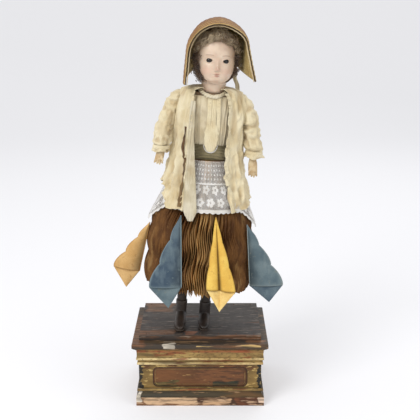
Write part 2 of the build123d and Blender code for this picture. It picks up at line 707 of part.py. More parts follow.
def make_bell_crank():
    """Bell crank that turns the head rod's lift into a push on the neck's tiller."""
    rod_y = HEAD_ROD_Y
    pin_z = BELL_PIVOT_Z + BELL_RISE
    slot = TILLER_PIN + FORK_GAP
    fork_floor, fork_top = pin_z - FORK_DEPTH, pin_z + TILLER_PIN
    with BuildPart() as bell:
        with BuildSketch(side_plane(RIGHT_LEG_X - BELL_ARM_THICK / 2)):
            with Locations((rod_y, BELL_PIVOT_Z)):
                Circle(TIP_RADIUS)
            with Locations((BELL_PIVOT_Y, BELL_PIVOT_Z)):
                Circle(BELL_HUB)
            make_hull()
        extrude(amount=BELL_ARM_THICK)
        with BuildSketch(side_plane(RIGHT_LEG_X - BELL_ARM_THICK / 2)):
            with Locations((BELL_PIVOT_Y, BELL_PIVOT_Z)):
                Circle(BELL_HUB)
            with Locations((TILLER_Y, fork_floor - FORK_WALL)):
                Circle(FORK_WALL)
            make_hull()
        extrude(amount=BELL_ARM_THICK)
        with BuildSketch(side_plane(RIGHT_LEG_X - BELL_ARM_THICK / 2)):
            with Locations((TILLER_Y, fork_floor - FORK_WALL / 2)):
                Rectangle(2 * (slot + FORK_WALL), FORK_WALL)
            with Locations((TILLER_Y - slot - FORK_WALL / 2, (fork_floor + fork_top) / 2),
                           (TILLER_Y + slot + FORK_WALL / 2, (fork_floor + fork_top) / 2)):
                Rectangle(FORK_WALL, fork_top - fork_floor)
        extrude(amount=BELL_ARM_THICK)
        with BuildSketch(side_plane(RIGHT_LEG_X - BELL_ARM_THICK)):
            with Locations((BELL_PIVOT_Y, BELL_PIVOT_Z)):
                Circle(PIVOT_RADIUS + RUNNING)
        extrude(amount=2 * BELL_ARM_THICK, mode=Mode.SUBTRACT)
    finish(bell, "bell_crank", STANDING)


def make_spindle():
    """Neck spindle with its tiller arm and the pin that hangs in the bell crank's fork."""
    pin_z = BELL_PIVOT_Z + BELL_RISE
    bar_z = pin_z + 3.0
    with BuildPart() as spindle:
        with BuildSketch(Plane.XY.offset(bar_z)):
            with Locations((NECK_X, 0)):
                Circle(SPINDLE_RADIUS)
        extrude(amount=SHOULDER_TOP + 16 - bar_z)
        with BuildSketch(Plane.XY.offset(bar_z)):
            with Locations((NECK_X, 0)):
                Circle(SPINDLE_RADIUS + 1)
            with Locations((TILLER_X, TILLER_Y)):
                Circle(TILLER_PIN + 0.7)
            make_hull()
        extrude(amount=2.0)
        with BuildSketch(Plane.XY.offset(pin_z - 1.4)):
            with Locations((TILLER_X, TILLER_Y)):
                Circle(TILLER_PIN)
        extrude(amount=bar_z - pin_z + 1.6)
    finish(spindle, "neck_spindle", STANDING)


# ---- arms and sleeves -------------------------------------------------------------------
LEFT_ARM = [(254.0, -42.8, 5.0, 1.8, 4.0), (246.0, -44.2, 4.6, 2.6, 4.2),
            (232.0, -46.4, 2.0, 3.6, 4.0), (218.0, -48.0, -3.0, 3.8, 4.0),
            (202.0, -49.6, -9.0, 3.4, 3.4), (196.0, -50.4, -10.0, 4.6, 4.2),
            (189.0, -51.6, -11.5, 4.4, 3.4), (184.0, -53.0, -12.5, 2.0, 1.8)]
RIGHT_ARM = [(254.0, 42.2, 5.0, 2.0, 4.0), (246.0, 42.8, 4.6, 2.8, 4.2),
             (232.0, 45.0, 3.0, 3.4, 4.0), (215.0, 47.6, 0.0, 3.6, 3.8),
             (199.0, 49.4, -4.0, 3.2, 3.2), (190.0, 50.2, -5.5, 5.0, 3.6),
             (182.0, 51.0, -6.5, 5.0, 3.0), (176.5, 52.4, -7.0, 2.6, 1.8)]
LEFT_SLEEVE = [(260.0, -42.4, 5.0, 3.0, 5.0), (253.0, -43.2, 5.0, 4.6, 8.2),
               (238.0, -46.4, 3.0, 6.6, 9.6), (222.0, -49.0, -2.0, 7.4, 9.2),
               (208.0, -50.0, -6.6, 8.2, 8.6), (198.0, -50.2, -9.4, 7.6, 7.6)]
RIGHT_SLEEVE = [(259.0, 42.2, 5.0, 2.8, 5.0), (252.0, 43.0, 5.0, 4.4, 8.0),
                (238.0, 44.8, 3.0, 5.8, 9.2), (222.0, 47.4, 0.0, 6.8, 9.0),
                (208.0, 50.0, -2.4, 8.4, 9.0), (198.0, 51.6, -4.4, 8.6, 8.4)]


def make_arm(side, stations, sleeve_stations):
    """Axle with its inner lever, stuffed arm with its gloved hand, and the sleeve over it."""
    sign = -1 if side == "left" else 1
    rod_x = LEFT_LEG_X if side == "left" else RIGHT_LEG_X
    droop = math.radians(SHOULDER_DROOP)
    tip = (TORSO_SPLIT - SHOULDER_ARM * math.cos(droop), AXLE_Z - SHOULDER_ARM * math.sin(droop))
    inner, outer = rod_x - sign * AXLE_LEVER / 2, sign * AXLE_END
    with BuildPart() as axle:
        with BuildSketch(side_plane(min(inner, outer))):
            with Locations((TORSO_SPLIT, AXLE_Z)):
                Circle(AXLE_RADIUS)
        extrude(amount=abs(outer - inner))
        with BuildSketch(side_plane(rod_x - AXLE_LEVER / 2)):
            with Locations((TORSO_SPLIT, AXLE_Z)):
                Circle(AXLE_RADIUS + 1)
            with Locations(tip):
                Circle(TIP_RADIUS)
            make_hull()
        extrude(amount=AXLE_LEVER)
    finish(axle, f"{side}_shoulder_axle", STANDING)

    with BuildPart() as arm:
        loft([oval(z, w, d, (x, y)) for z, x, y, w, d in stations], ruled=True)
        add(axle_bore(RUNNING / 2), mode=Mode.SUBTRACT)
    finish(arm, f"{side}_arm", STANDING)

    top = sleeve_stations[0][0]
    with BuildPart() as sleeve:
        loft([oval(z, w, d, (x, y)) for z, x, y, w, d in sleeve_stations], ruled=True)
        loft([oval(z - (2 * SLEEVE_WALL if z == top else 0), w - SLEEVE_WALL, d - SLEEVE_WALL,
                   (x, y)) for z, x, y, w, d in sleeve_stations],
             ruled=True, mode=Mode.SUBTRACT)
        with BuildSketch(side_plane(min(0, sleeve_stations[1][1]))):
            with Locations((TORSO_SPLIT, AXLE_Z)):
                Circle(AXLE_RADIUS + SEAT)
        extrude(amount=abs(sleeve_stations[1][1]), mode=Mode.SUBTRACT)
    finish(sleeve, f"{side}_sleeve", STANDING)


# ---- clothes on the body ----------------------------------------------------------------
def make_underclothes():
    """Blouse with its gathers, the twisted neck trim and the waist sash."""
    waist_top = WAIST_Z + 1 + SASH_HEIGHT
    levels = [waist_top + SEAT] + [z for z, _, _ in TORSO_LEVELS if z > waist_top]
    inner = [(z, *[v + SEAT for v in between(TORSO_LEVELS, z)]) for z in levels]
    outer = [(z, w + CLOTH + GATHER_DEPTH, d + CLOTH + GATHER_DEPTH) for z, w, d in inner]
    with BuildPart() as blouse:
        add(cloth_ring(outer, inner, GATHERS, GATHER_DEPTH, SQUARISH))
        add(axle_bore(SEAT), mode=Mode.SUBTRACT)
    finish(blouse, "blouse", STANDING)

    trim_x = NECK_X + NECK_RADIUS + TRIM_ROOM + TRIM_TUBE
    with BuildPart() as trim:
        with BuildSketch(front_plane(0)):
            with Locations((trim_x, SHOULDER_TOP + SEAT + TRIM_TUBE)):
                Circle(TRIM_TUBE)
        revolve(axis=Axis((NECK_X, 0, 0), (0, 0, 1)))
    finish(trim, "neck_trim", STANDING)

    sash_levels = [WAIST_Z + 1, WAIST_Z + 1 + SASH_HEIGHT / 2, waist_top]
    body = [between(TORSO_LEVELS, z) for z in sash_levels]
    with BuildPart() as sash:
        add(cloth_ring([(z, w + SASH, d + SASH) for z, (w, d) in zip(sash_levels, body)],
                       [(z, w + SEAT, d + SEAT) for z, (w, d) in zip(sash_levels, body)],
                       power=SQUARISH))
    finish(sash, "waist_sash", STANDING)


def make_skirts():
    """The skirt of folded paper leaves, standing in pleats, and the lace overskirt."""
    finish(cloth_ring(SKIRT_LEVELS, SKIRT_INNER, PLEATS, PLEAT_DEPTH), "paper_skirt", STANDING)
    lace_levels = [row for row in SKIRT_LEVELS if row[0] >= LACE_HEM_SIDE]
    inner = [(z, w + LAYER_GAP, d + LAYER_GAP) for z, w, d in lace_levels]
    outer = [(z, w + LACE + LACE_FOLD_DEPTH, d + LACE + LACE_FOLD_DEPTH) for z, w, d in inner]
    with BuildPart() as lace:
        add(cloth_ring(outer, inner, LACE_FOLDS, LACE_FOLD_DEPTH))
        hem = [(-90, 100), (-90, LACE_HEM_FRONT + 2), (-50, LACE_HEM_FRONT),
               (-12, LACE_HEM_SIDE + 1), (90, LACE_HEM_SIDE + 1), (90, 100)]
        with BuildSketch(side_plane(-90)):
            with BuildLine():
                Polyline(*hem, close=True)
            make_face()
        extrude(amount=180, mode=Mode.SUBTRACT)
    finish(lace, "lace_overskirt", STANDING)


JACKET_LEFT_EDGE = -115.0
JACKET_RIGHT_EDGE = -69.0


def jacket_band(half_width, half_depth, grow):
    """One open ring of the jacket: out along its folds and back along its inside."""
    turn = 360 - (JACKET_RIGHT_EDGE - JACKET_LEFT_EDGE)
    outer = wave_ring(half_width, half_depth, JACKET_FOLDS, JACKET_FOLD_DEPTH * grow,
                      start=JACKET_RIGHT_EDGE, turn=turn)
    inner = wave_ring(half_width - CLOTH, half_depth - CLOTH, JACKET_FOLDS,
                      JACKET_FOLD_DEPTH * grow, start=JACKET_RIGHT_EDGE, turn=turn)
    return outer + inner[::-1]


def make_jacket():
    """Short open jacket, its fronts hanging in folds, drilled for the shoulder axles."""
    with BuildPart() as jacket:
        top, length = JACKET_LEVELS[0][0], JACKET_LEVELS[0][0] - JACKET_HEM
        loft([outline(jacket_band(w, d, (top - z) / length), z) for z, w, d in JACKET_LEVELS],
             ruled=True)
        add(axle_bore(SEAT + RUNNING), mode=Mode.SUBTRACT)
    finish(jacket, "jacket", STANDING)


def ribbon_bars(points):
    """A flat ribbon hanging through points (x, y, z, width), as tapering lengths."""
    lengths = []
    for (x0, y0, z0, w0), (x1, y1, z1, w1) in zip(points, points[1:]):
        ends = [[(x - w / 2, y), (x + w / 2, y), (x + w / 2, y - RIBBON), (x - w / 2, y - RIBBON)]
                for x, y, w in ((x1, y1, w1), (x0, y0, w0))]
        with BuildPart() as length:
            loft([outline(ends[0], z1), outline(ends[1], z0)], ruled=True)
        lengths.append(length.part)
    return lengths


def on_jacket(x, z, width):
    """A ribbon's point (x, y, z, width) that lies on the front of the jacket."""
    half_width, half_depth = between(JACKET_LEVELS, z)
    near = x + width / 2
    return x, -(half_depth + SEAT) * math.sqrt(1 - (near / half_width) ** 2), z, width


FRONT_RIBBON = [on_jacket(-19.0, 256.0, 5.0), on_jacket(-19.0, 225.0, 6.5),
                on_jacket(-17.5, 200.0, 8.0), on_jacket(-15.5, 172.0, 11.0),
                on_jacket(-14.0, JACKET_HEM + 1, 15.0), on_jacket(-13.0, 134.0, 5.0)]
BONNET_TIE = [(23.2, 15.0, 290.0, 4.4), (23.2, 15.5, 281.0, 4.4), (33.0, 21.0, 268.0, 5.2),
              (37.0, 22.5, 252.0, 5.5), (38.0, 23.0, 240.0, 6.0)]


def make_ribbons():
    """The bonnet's ribbons: one lies down the front, the other hangs free behind."""
    for label, points in (("front_ribbon", FRONT_RIBBON), ("bonnet_tie", BONNET_TIE)):
        with BuildPart() as ribbon:
            add(ribbon_bars(points))
        finish(ribbon, label, STANDING)


# ---- head -------------------------------------------------------------------------------
HEAD_LEVELS = [(CHIN_Z, 7.0, 12.0, -6.5), (279.0, 12.0, 17.0, -3.8), (285.0, 16.6, 20.0, -2.0),
               (292.0, 19.2, 21.4, -0.8), (300.0, FACE_HALF, 21.8, 0.0),
               (310.0, 19.8, 21.6, 0.6), (320.0, 16.8, 18.8, 1.2), (327.0, 11.6, 13.4, 1.6),
               (CROWN_Z, 4.6, 5.4, 1.8)]


def yawed(x, y):
    """A point of the head turned from straight ahead to where the head looks at rest."""
    turn = math.radians(HEAD_YAW)
    dx = x - NECK_X
    return (NECK_X + dx * math.cos(turn) - y * math.sin(turn),
            dx * math.sin(turn) + y * math.cos(turn))


def head_loft(more):
    """The head's sections from chin to crown, each grown by more."""
    return [oval(z + (more if z > 320 else 0), w + more * (0.5 if z > 320 else 1),
                 d + more * (0.5 if z > 320 else 1), yawed(NECK_X, y))
            for z, w, d, y in HEAD_LEVELS]


def eye_places():
    """Centres of the two glass eyes."""
    half = EYE_SPACING / 2
    return [(*yawed(NECK_X + s * half, -EYE_DEPTH), EYE_Z) for s in (-1, 1)]


def make_head():
    """Wax head on its neck, its glass eyes and the wig of curls."""
    with BuildPart() as head:
        loft(head_loft(0.0))
        with BuildSketch(Plane.XY.offset(SHOULDER_TOP + SEAT)):
            with Locations((NECK_X, 0)):
                Circle(NECK_RADIUS)
        with BuildSketch(Plane.XY.offset(CHIN_Z + 9)):
            with Locations((NECK_X, 0)):
                Circle(NECK_RADIUS - 1.0)
        loft()
        with Locations(*eye_places()):
            Sphere(EYE_RADIUS + RUNNING, mode=Mode.SUBTRACT)
        with BuildSketch(Plane.XY.offset(SHOULDER_TOP)):
            with Locations((NECK_X, 0)):
                Circle(SPINDLE_RADIUS + RUNNING / 2)
        extrude(amount=16 + RUNNING, mode=Mode.SUBTRACT)
    finish(head, "head_shell", STANDING)

    with BuildPart() as eyes:
        with Locations(*eye_places()):
            Sphere(EYE_RADIUS)
    finish(eyes, "glass_eyes", STANDING)

    with BuildPart() as wig:
        loft(head_loft(HAIR_THICK))
        loft(head_loft(RUNNING), mode=Mode.SUBTRACT)
        with BuildSketch(front_plane(-7)):
            with Locations(yawed(NECK_X, 0)[:1] + (297.0,)):
                RectangleRounded(40, 50, 16)
        extrude(amount=40, mode=Mode.SUBTRACT)
        with BuildSketch(Plane.XY.offset(CHIN_Z - 6)):
            Rectangle(90, 90)
        extrude(amount=4.5, mode=Mode.SUBTRACT)
        with BuildSketch(Plane.XY.offset(SHOULDER_TOP)):
            with Locations((NECK_X, 0)):
                Circle(NECK_RADIUS + RUNNING)
        extrude(amount=CHIN_Z + 9 - SHOULDER_TOP, mode=Mode.SUBTRACT)
    finish(wig, "wig", STANDING)


# the bonnet's arches from its rim back to its crown: y, left foot, left side, top, right side
BONNET_ARCHES = [(-27.0, (-31.0, 274.5), (-30.0, 307.0), (2.0, 343.5), (35.0, 319.0),
                  (43.5, 284.0)),
                 (-14.0, (-28.5, 274.5), (-28.6, 306.0), (2.0, 342.0), (32.0, 318.0),
                  (36.0, 282.0)),
                 (0.0, (-26.5, 275.5), (-27.4, 305.0), (2.0, 339.5), (30.0, 315.0),
                  (31.0, 281.0)),
                 (14.0, (-25.0, 278.0), (-25.6, 304.0), (2.0, 338.0), (28.5, 312.0),
                  (28.0, 282.0))]
CROWN_BACK = 27.8
CROWN_SHRINK = 0.8
CROWN_MIDDLE = 306.0
BONNET_MIDDLE = 300.0
ARCH_STEPS = 4


def arch_points(arch, grow):
    """Points of one arch, from the left foot over the top to the right foot, grown outwards."""
    _, left_foot, left, top, right, right_foot = arch
    quarter = [math.radians(90 * step / ARCH_STEPS) for step in range(ARCH_STEPS + 1)]
    rise = [(top[0] + (left[0] - top[0]) * math.cos(a), left[1] + (top[1] - left[1]) * math.sin(a))
            for a in quarter]
    fall = [(top[0] + (right[0] - top[0]) * math.sin(a), right[1] + (top[1] - right[1]) * math.cos(a))
            for a in quarter[1:]]
    points = []
    for x, z in [left_foot] + rise + fall + [right_foot]:
        dx, dz = x - top[0], z - BONNET_MIDDLE
        size = math.hypot(dx, dz)
        points.append((x + grow * dx / size, z + grow * dz / size))
    return points


def crown_back(points):
    """The arch's points drawn in towards the back of the crown."""
    return [(NECK_X + 1 + CROWN_SHRINK * (x - NECK_X - 1),
             CROWN_MIDDLE + CROWN_SHRINK * (z - CROWN_MIDDLE)) for x, z in points]


def open_below(points):
    """The arch's points with both feet drawn down, so that its underside is cut open."""
    (x0, z0), (x1, z1) = points[0], points[-1]
    return [(x0, z0 - 6)] + points[1:-1] + [(x1, z1 - 6)]


def make_bonnet():
    """Straw bonnet: a brim that flares forward round the face, and a closed crown."""
    crown = BONNET_ARCHES[-1]
    with BuildPart() as bonnet:
        loft([outline(arch_points(a, 0), -a[0], Plane.XZ) for a in BONNET_ARCHES], ruled=True)
        loft([outline(arch_points(crown, 0), -crown[0], Plane.XZ),
              outline(crown_back(arch_points(crown, 0)), -CROWN_BACK, Plane.XZ)], ruled=True)
        front = BONNET_ARCHES[0]
        rows = [(front[0] - 0.5, *front[1:])] + BONNET_ARCHES[1:]
        loft([outline(open_below(arch_points(a, -STRAW)), -a[0], Plane.XZ) for a in rows],
             ruled=True, mode=Mode.SUBTRACT)
        inside = open_below(arch_points(crown, -STRAW))
        loft([outline(inside, -crown[0], Plane.XZ),
              outline(crown_back(inside), -(CROWN_BACK - STRAW), Plane.XZ)],
             ruled=True, mode=Mode.SUBTRACT)
    finish(bonnet, "bonnet", STANDING)


# ---- opened leaves of the skirt ---------------------------------------------------------
LEAVES = {
    "buff_leaf": [((-57.15, -10.0, 117.5), (-65.4, -10.5, 60.0), (-94.0, -13.0, 64.0),
                   (-79.0, -13.5, 41.0))],
    "left_blue_leaf": [((-23.0, -51.0, 139.5), (-17.0, -59.8, 63.0), (-50.5, -63.0, 61.0),
                        (-29.0, -66.0, 41.0))],
    "yellow_leaf": [((13.6, -52.8, 141.0), (23.5, -61.0, 63.0), (10.0, -66.0, 64.0),
                     (25.0, -69.0, 42.0)),
                    ((13.6, -52.8, 141.0), (23.5, -61.0, 63.0), (40.5, -64.0, 63.0),
                     (25.0, -69.0, 42.0))],
    "right_blue_leaf": [((48.5, -31.5, 129.0), (57.6, -32.0, 60.0), (93.0, -36.0, 65.0),
                         (80.0, -38.0, 45.0))],
}


def fold_line(start, end):
    """The rounded crease of a leaf between two of its points."""
    way = Vector(*end) - Vector(*start)
    with BuildPart() as crease:
        with BuildSketch(Plane(origin=start, z_dir=way)):
            Circle(CREASE)
        extrude(amount=way.length)
    return crease.part


def page_solid(top, spine, corner, tip):
    """One page of an opened leaf: upper page with three lobes, and its folded tip below."""
    pages = []
    for a, b, c, lobed in ((top, spine, corner, True), (spine, tip, corner, False)):
        plane = Plane(origin=a, x_dir=Vector(*b) - Vector(*a),
                      z_dir=(Vector(*b) - Vector(*a)).cross(Vector(*c) - Vector(*a)))
        pb, pc = plane.to_local_coords(Vector(*b)), plane.to_local_coords(Vector(*c))
        with BuildPart() as page:
            with BuildSketch(plane):
                with BuildLine():
                    Line((0, 0), (pb.X, pb.Y))
                    Line((pb.X, pb.Y), (pc.X, pc.Y))
                    if lobed:
                        edge = [(pc.X * s, pc.Y * s) for s in (1.0, 0.68, 0.38, 0.0)]
                        bulge = LOBE_BULGE if pc.Y > 0 else -LOBE_BULGE
                        for (x0, y0), (x1, y1) in zip(edge, edge[1:]):
                            mid = ((x0 + x1) / 2 + bulge * (y1 - y0),
                                   (y0 + y1) / 2 - bulge * (x1 - x0))
                            ThreePointArc((x0, y0), mid, (x1, y1))
                    else:
                        Line((pc.X, pc.Y), (0, 0))
                make_face()
            extrude(amount=PAPER / 2, both=True)
        pages.append(page.part)
    return pages + [fold_line(top, spine), fold_line(spine, tip), fold_line(spine, corner)]


def make_leaves():
    """Four leaves of the skirt that hang opened and lift at their tops."""
    for name, pages in LEAVES.items():
        with BuildPart() as leaf:
            for page in pages:
                add(page_solid(*page))
        finish(leaf, name, STANDING)


def main():
    """Make every piece."""
    make_case_boards()
    moulding(base_profile, "base_moulding")
    moulding(upper_profile, "upper_moulding")
    make_cornice()
    make_crankshaft()
    make_cam("left_arm_cam", LEFT_CAM_Y, ARM_CAM_LIFT)
    make_cam("right_arm_cam", RIGHT_CAM_Y, ARM_CAM_LIFT)
    make_cam("head_cam", HEAD_CAM_Y, HEAD_CAM_LIFT)
    make_levers()
    make_rods()
    make_leg_and_boot("left", LEFT_LEG_X, LEFT_TOE_Y)
    make_leg_and_boot("right", RIGHT_LEG_X, RIGHT_TOE_Y)
    make_body()
    make_bell_crank()
    make_spindle()
    make_arm("left", LEFT_ARM, LEFT_SLEEVE)
    make_arm("right", RIGHT_ARM, RIGHT_SLEEVE)
    make_underclothes()
    make_skirts()
    make_jacket()
    make_ribbons()
    make_head()
    make_bonnet()
    make_leaves()


main()
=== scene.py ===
"""Dresses a crank automaton: a fortune-telling lady in paper leaves on a gilded case.

The frame's solids give every place. The figure is shaped upright in millimetres, from the
point between her feet, and Stance.stand sets it on the case with the lean she has taken.
"""

import logging  # noqa: E402
import math  # noqa: E402
import random  # noqa: E402
from dataclasses import dataclass, field  # noqa: E402
from enum import Enum  # noqa: E402
from typing import Callable, Iterable, Optional, Sequence, Union  # noqa: E402

import bpy  # noqa: E402
import numpy as np  # noqa: E402
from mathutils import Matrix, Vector, noise  # noqa: E402

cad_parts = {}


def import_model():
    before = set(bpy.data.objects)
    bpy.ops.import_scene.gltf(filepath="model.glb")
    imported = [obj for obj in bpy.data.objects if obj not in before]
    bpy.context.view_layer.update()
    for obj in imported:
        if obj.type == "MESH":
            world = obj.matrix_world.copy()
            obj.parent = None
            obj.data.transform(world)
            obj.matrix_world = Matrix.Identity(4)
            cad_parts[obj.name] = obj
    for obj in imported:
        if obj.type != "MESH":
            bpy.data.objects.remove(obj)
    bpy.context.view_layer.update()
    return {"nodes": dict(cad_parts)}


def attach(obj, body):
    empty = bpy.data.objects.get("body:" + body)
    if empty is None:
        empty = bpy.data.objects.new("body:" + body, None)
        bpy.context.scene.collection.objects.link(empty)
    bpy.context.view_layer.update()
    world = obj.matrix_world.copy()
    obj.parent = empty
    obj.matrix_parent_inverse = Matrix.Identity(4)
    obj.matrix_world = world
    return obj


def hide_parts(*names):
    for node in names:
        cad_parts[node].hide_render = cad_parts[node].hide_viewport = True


log = logging.getLogger("crank_automaton")

MM = 0.001
Colour = tuple[float, float, float]
Triple = tuple[float, float, float]
Socket = bpy.types.NodeSocket
Thing = bpy.types.Object
Points = np.ndarray
Form = tuple[Points, list[tuple]]
Value = Union[float, int, bool, str, tuple, Socket, bpy.types.Material]


# ---- numbers and shapes
def smooth_step(value: Points, low: float, high: float) -> Points:
    """A smooth rise from 0 at low to 1 at high."""
    share = np.clip((value - low) / (high - low), 0.0, 1.0)
    return share * share * (3 - 2 * share)


def hill(value: Points, middle: float, width: float) -> Points:
    """A rounded hill of height 1 at the middle."""
    return np.exp(-(((value - middle) / width) ** 2))


def curve_through(at: Points, knots: Sequence[float], values: Points) -> Points:
    """Smooth values between knots, with no overshoot to speak of.

    Args:
        at: Where the curve is wanted.
        knots: Rising places of the known values.
        values: One row of known values for each knot.

    Returns:
        One row of values for each place.
    """
    knots, values = np.asarray(knots, float), np.asarray(values, float)
    steps = np.diff(knots)
    rises = np.diff(values, axis=0) / steps[:, None]
    slopes = np.zeros_like(values)
    slopes[0], slopes[-1] = rises[0], rises[-1]
    same_way = rises[1:] * rises[:-1] > 0
    slopes[1:-1] = np.where(same_way, (rises[1:] + rises[:-1]) / 2, 0.0)
    at = np.clip(at, knots[0], knots[-1])
    cell = np.clip(np.searchsorted(knots, at) - 1, 0, len(steps) - 1)
    t = ((at - knots[cell]) / steps[cell])[:, None]
    width = steps[cell][:, None]
    return ((2 * t**3 - 3 * t**2 + 1) * values[cell] + (t**3 - 2 * t**2 + t) * width * slopes[cell]
            + (3 * t**2 - 2 * t**3) * values[cell + 1] + (t**3 - t**2) * width * slopes[cell + 1])


def by_height(rows: Sequence[Sequence[float]], at: Points) -> Points:
    """Smooth sizes at each height, from rows that begin with their height."""
    ordered = sorted(rows)
    return curve_through(np.asarray(at, float), [r[0] for r in ordered], [r[1:] for r in ordered])


def full_turn(count: int) -> Points:
    """Even angles once round, the last one short of the first."""
    return np.linspace(0, math.tau, count, endpoint=False)


def oval(angles: Points, middle: Sequence[float], half_width: Value, half_depth: Value,
         height: Value) -> Points:
    """Points round an oval, at one height or at one height each."""
    return np.column_stack([middle[0] + half_width * np.cos(angles),
                            middle[1] + half_depth * np.sin(angles), height + 0 * angles])


def ripple(across: Points, along: Points, seed: int, count: float) -> Points:
    """Uneven folds from -1 to 1 that run along a cloth and wander a little.

    Args:
        across: Place across the folds, from 0 to 1.
        along: Place along the folds, from 0 to 1.
        seed: Which folds.
        count: About how many folds there are.

    Returns:
        The folds' height at each place.
    """
    picker = random.Random(seed)
    total = np.zeros_like(across * along)
    weight = 0.0
    for octave in range(4):
        strength = 0.62**octave
        turns = max(1, round(count * (0.62 + 0.5 * octave)))
        drift, phase = picker.uniform(0.4, 1.5), picker.uniform(0, math.tau)
        wander = 0.35 * np.sin(math.tau * along * drift + picker.uniform(0, math.tau))
        total = total + strength * np.sin(math.tau * turns * across + phase + wander * 2.2)
        weight += strength
    return total / weight


def crumple(points: Points, size: float, seed: int) -> Points:
    """Soft dents from -1 to 1 at points in millimetres, size millimetres from dent to dent."""
    flat = points.reshape(-1, 3) / size + seed * 7.31
    return np.array([noise.noise(Vector(p)) for p in flat]).reshape(points.shape[:-1])


def creases(points: Points, size: Triple, seed: int) -> Points:
    """Sharp creases from -1 to 1 at points in millimetres, drawn out by the axes of size."""
    flat = points.reshape(-1, 3) / np.array(size) + seed * 5.17
    ridge = np.array([1 - 4.5 * abs(noise.noise(Vector(p))) for p in flat])
    return np.maximum(ridge, -1.0).reshape(points.shape[:-1])


def outward(grid: Points) -> Points:
    """Unit directions away from the middle of each row of a grid."""
    away = grid - grid.mean(1, keepdims=True)
    return away / np.maximum(np.linalg.norm(away, axis=2, keepdims=True), 1e-6)


def ring(half_width: Points, half_depth: Points, angles: Points, power: float = 2.0) -> Points:
    """Points round a body at one height, as x and y for each angle."""
    across, along = np.cos(angles), np.sin(angles)
    return np.stack([np.sign(across) * np.abs(across) ** (2 / power) * half_width,
                     np.sign(along) * np.abs(along) ** (2 / power) * half_depth], -1)


@dataclass(frozen=True)
class Stance:
    """How the figure stands on the case."""

    x: float = -7.5
    y: float = -4.0
    z: float = 81.5
    lean: float = math.radians(4.5)

    def stand(self, points: Points) -> Points:
        """Points of the upright figure in millimetres, set on the case in metres."""
        points = np.asarray(points, float)
        x, y, z = points[..., 0], points[..., 1], points[..., 2]
        turned = (self.x + x * math.cos(self.lean) + z * math.sin(self.lean), self.y + y,
                  self.z - x * math.sin(self.lean) + z * math.cos(self.lean))
        return np.stack(turned, -1) * MM


STANCE = Stance()


def mesh_piece(name: str, points: Points, faces: Sequence[Sequence[int]],
               places: Optional[Points] = None) -> Thing:
    """A new object at the origin from points in metres.

    Args:
        name: The piece's name.
        points: Its vertices.
        faces: The vertex numbers of each face.
        places: A pair of pattern coordinates for each vertex, in centimetres of cloth.

    Returns:
        The object, smooth shaded.
    """
    mesh = bpy.data.meshes.new(name)
    mesh.from_pydata(np.asarray(points).reshape(-1, 3).tolist(), [], [list(f) for f in faces])
    if places is not None:
        flat = np.asarray(places, np.float32).reshape(-1, 2)
        layer = mesh.uv_layers.new(name="UVMap")
        corner = np.zeros(len(mesh.loops), int)
        mesh.loops.foreach_get("vertex_index", corner)
        layer.data.foreach_set("uv", flat[corner].ravel())
    mesh.shade_smooth()
    mesh.update()
    obj = bpy.data.objects.new(name, mesh)
    bpy.context.scene.collection.objects.link(obj)
    return obj


def grid_faces(rows: int, columns: int, around: bool, start: int = 0) -> list[tuple]:
    """Faces of a grid of points, with its last column joined to its first if around."""
    faces = []
    for i in range(rows - 1):
        for j in range(columns if around else columns - 1):
            k = (j + 1) % columns
            faces.append((start + i * columns + j, start + i * columns + k, start + (i + 1) * columns + k,
                          start + (i + 1) * columns + j))
    return faces


def cap_faces(row: int, columns: int, pole: int, last: bool) -> list[tuple]:
    """Faces between a row of a grid and the pole that closes it."""
    pairs = [(row * columns + j, row * columns + (j + 1) % columns) for j in range(columns)]
    return [(a, b, pole) if last else (b, a, pole) for a, b in pairs]


def closed_form(rows: Points) -> Form:
    """Points and faces of a form through rings of points, closed at both ends."""
    count, columns = rows.shape[:2]
    faces = grid_faces(count, columns, True)
    for number, row in enumerate((0, count - 1)):
        faces += cap_faces(row, columns, count * columns + number, bool(row))
    return np.vstack([rows.reshape(-1, 3), rows[0].mean(0), rows[-1].mean(0)]), faces


def skin(name: str, rows: Points, around: bool = False, caps: bool = False, flip: bool = False) -> Thing:
    """A surface through a grid of points in metres.

    Args:
        name: The piece's name.
        rows: Points as rows, columns and coordinates.
        around: Whether each row closes on itself.
        caps: Whether the first and last rows are closed with a pole.
        flip: Whether the faces point the other way.

    Returns:
        The object, with pattern coordinates in centimetres along rows and columns.
    """
    count, columns = rows.shape[:2]
    faces = grid_faces(count, columns, around)
    across = np.linalg.norm(np.diff(rows, axis=1), axis=2).mean(0)
    along = np.linalg.norm(np.diff(rows, axis=0), axis=2).mean(1)
    u = np.concatenate([[0], np.cumsum(across)]) * 100
    v = np.concatenate([[0], np.cumsum(along)]) * 100
    places = np.stack(np.meshgrid(u, v), -1).reshape(-1, 2)
    points = rows.reshape(-1, 3)
    if caps:
        for row, last in ((0, False), (count - 1, True)):
            faces += cap_faces(row, columns, len(points), last)
            points = np.vstack([points, rows[row].mean(0)])
            places = np.vstack([places, [u.mean(), v[row]]])
    if flip:
        faces = [tuple(reversed(f)) for f in faces]
    return mesh_piece(name, points, faces, places)


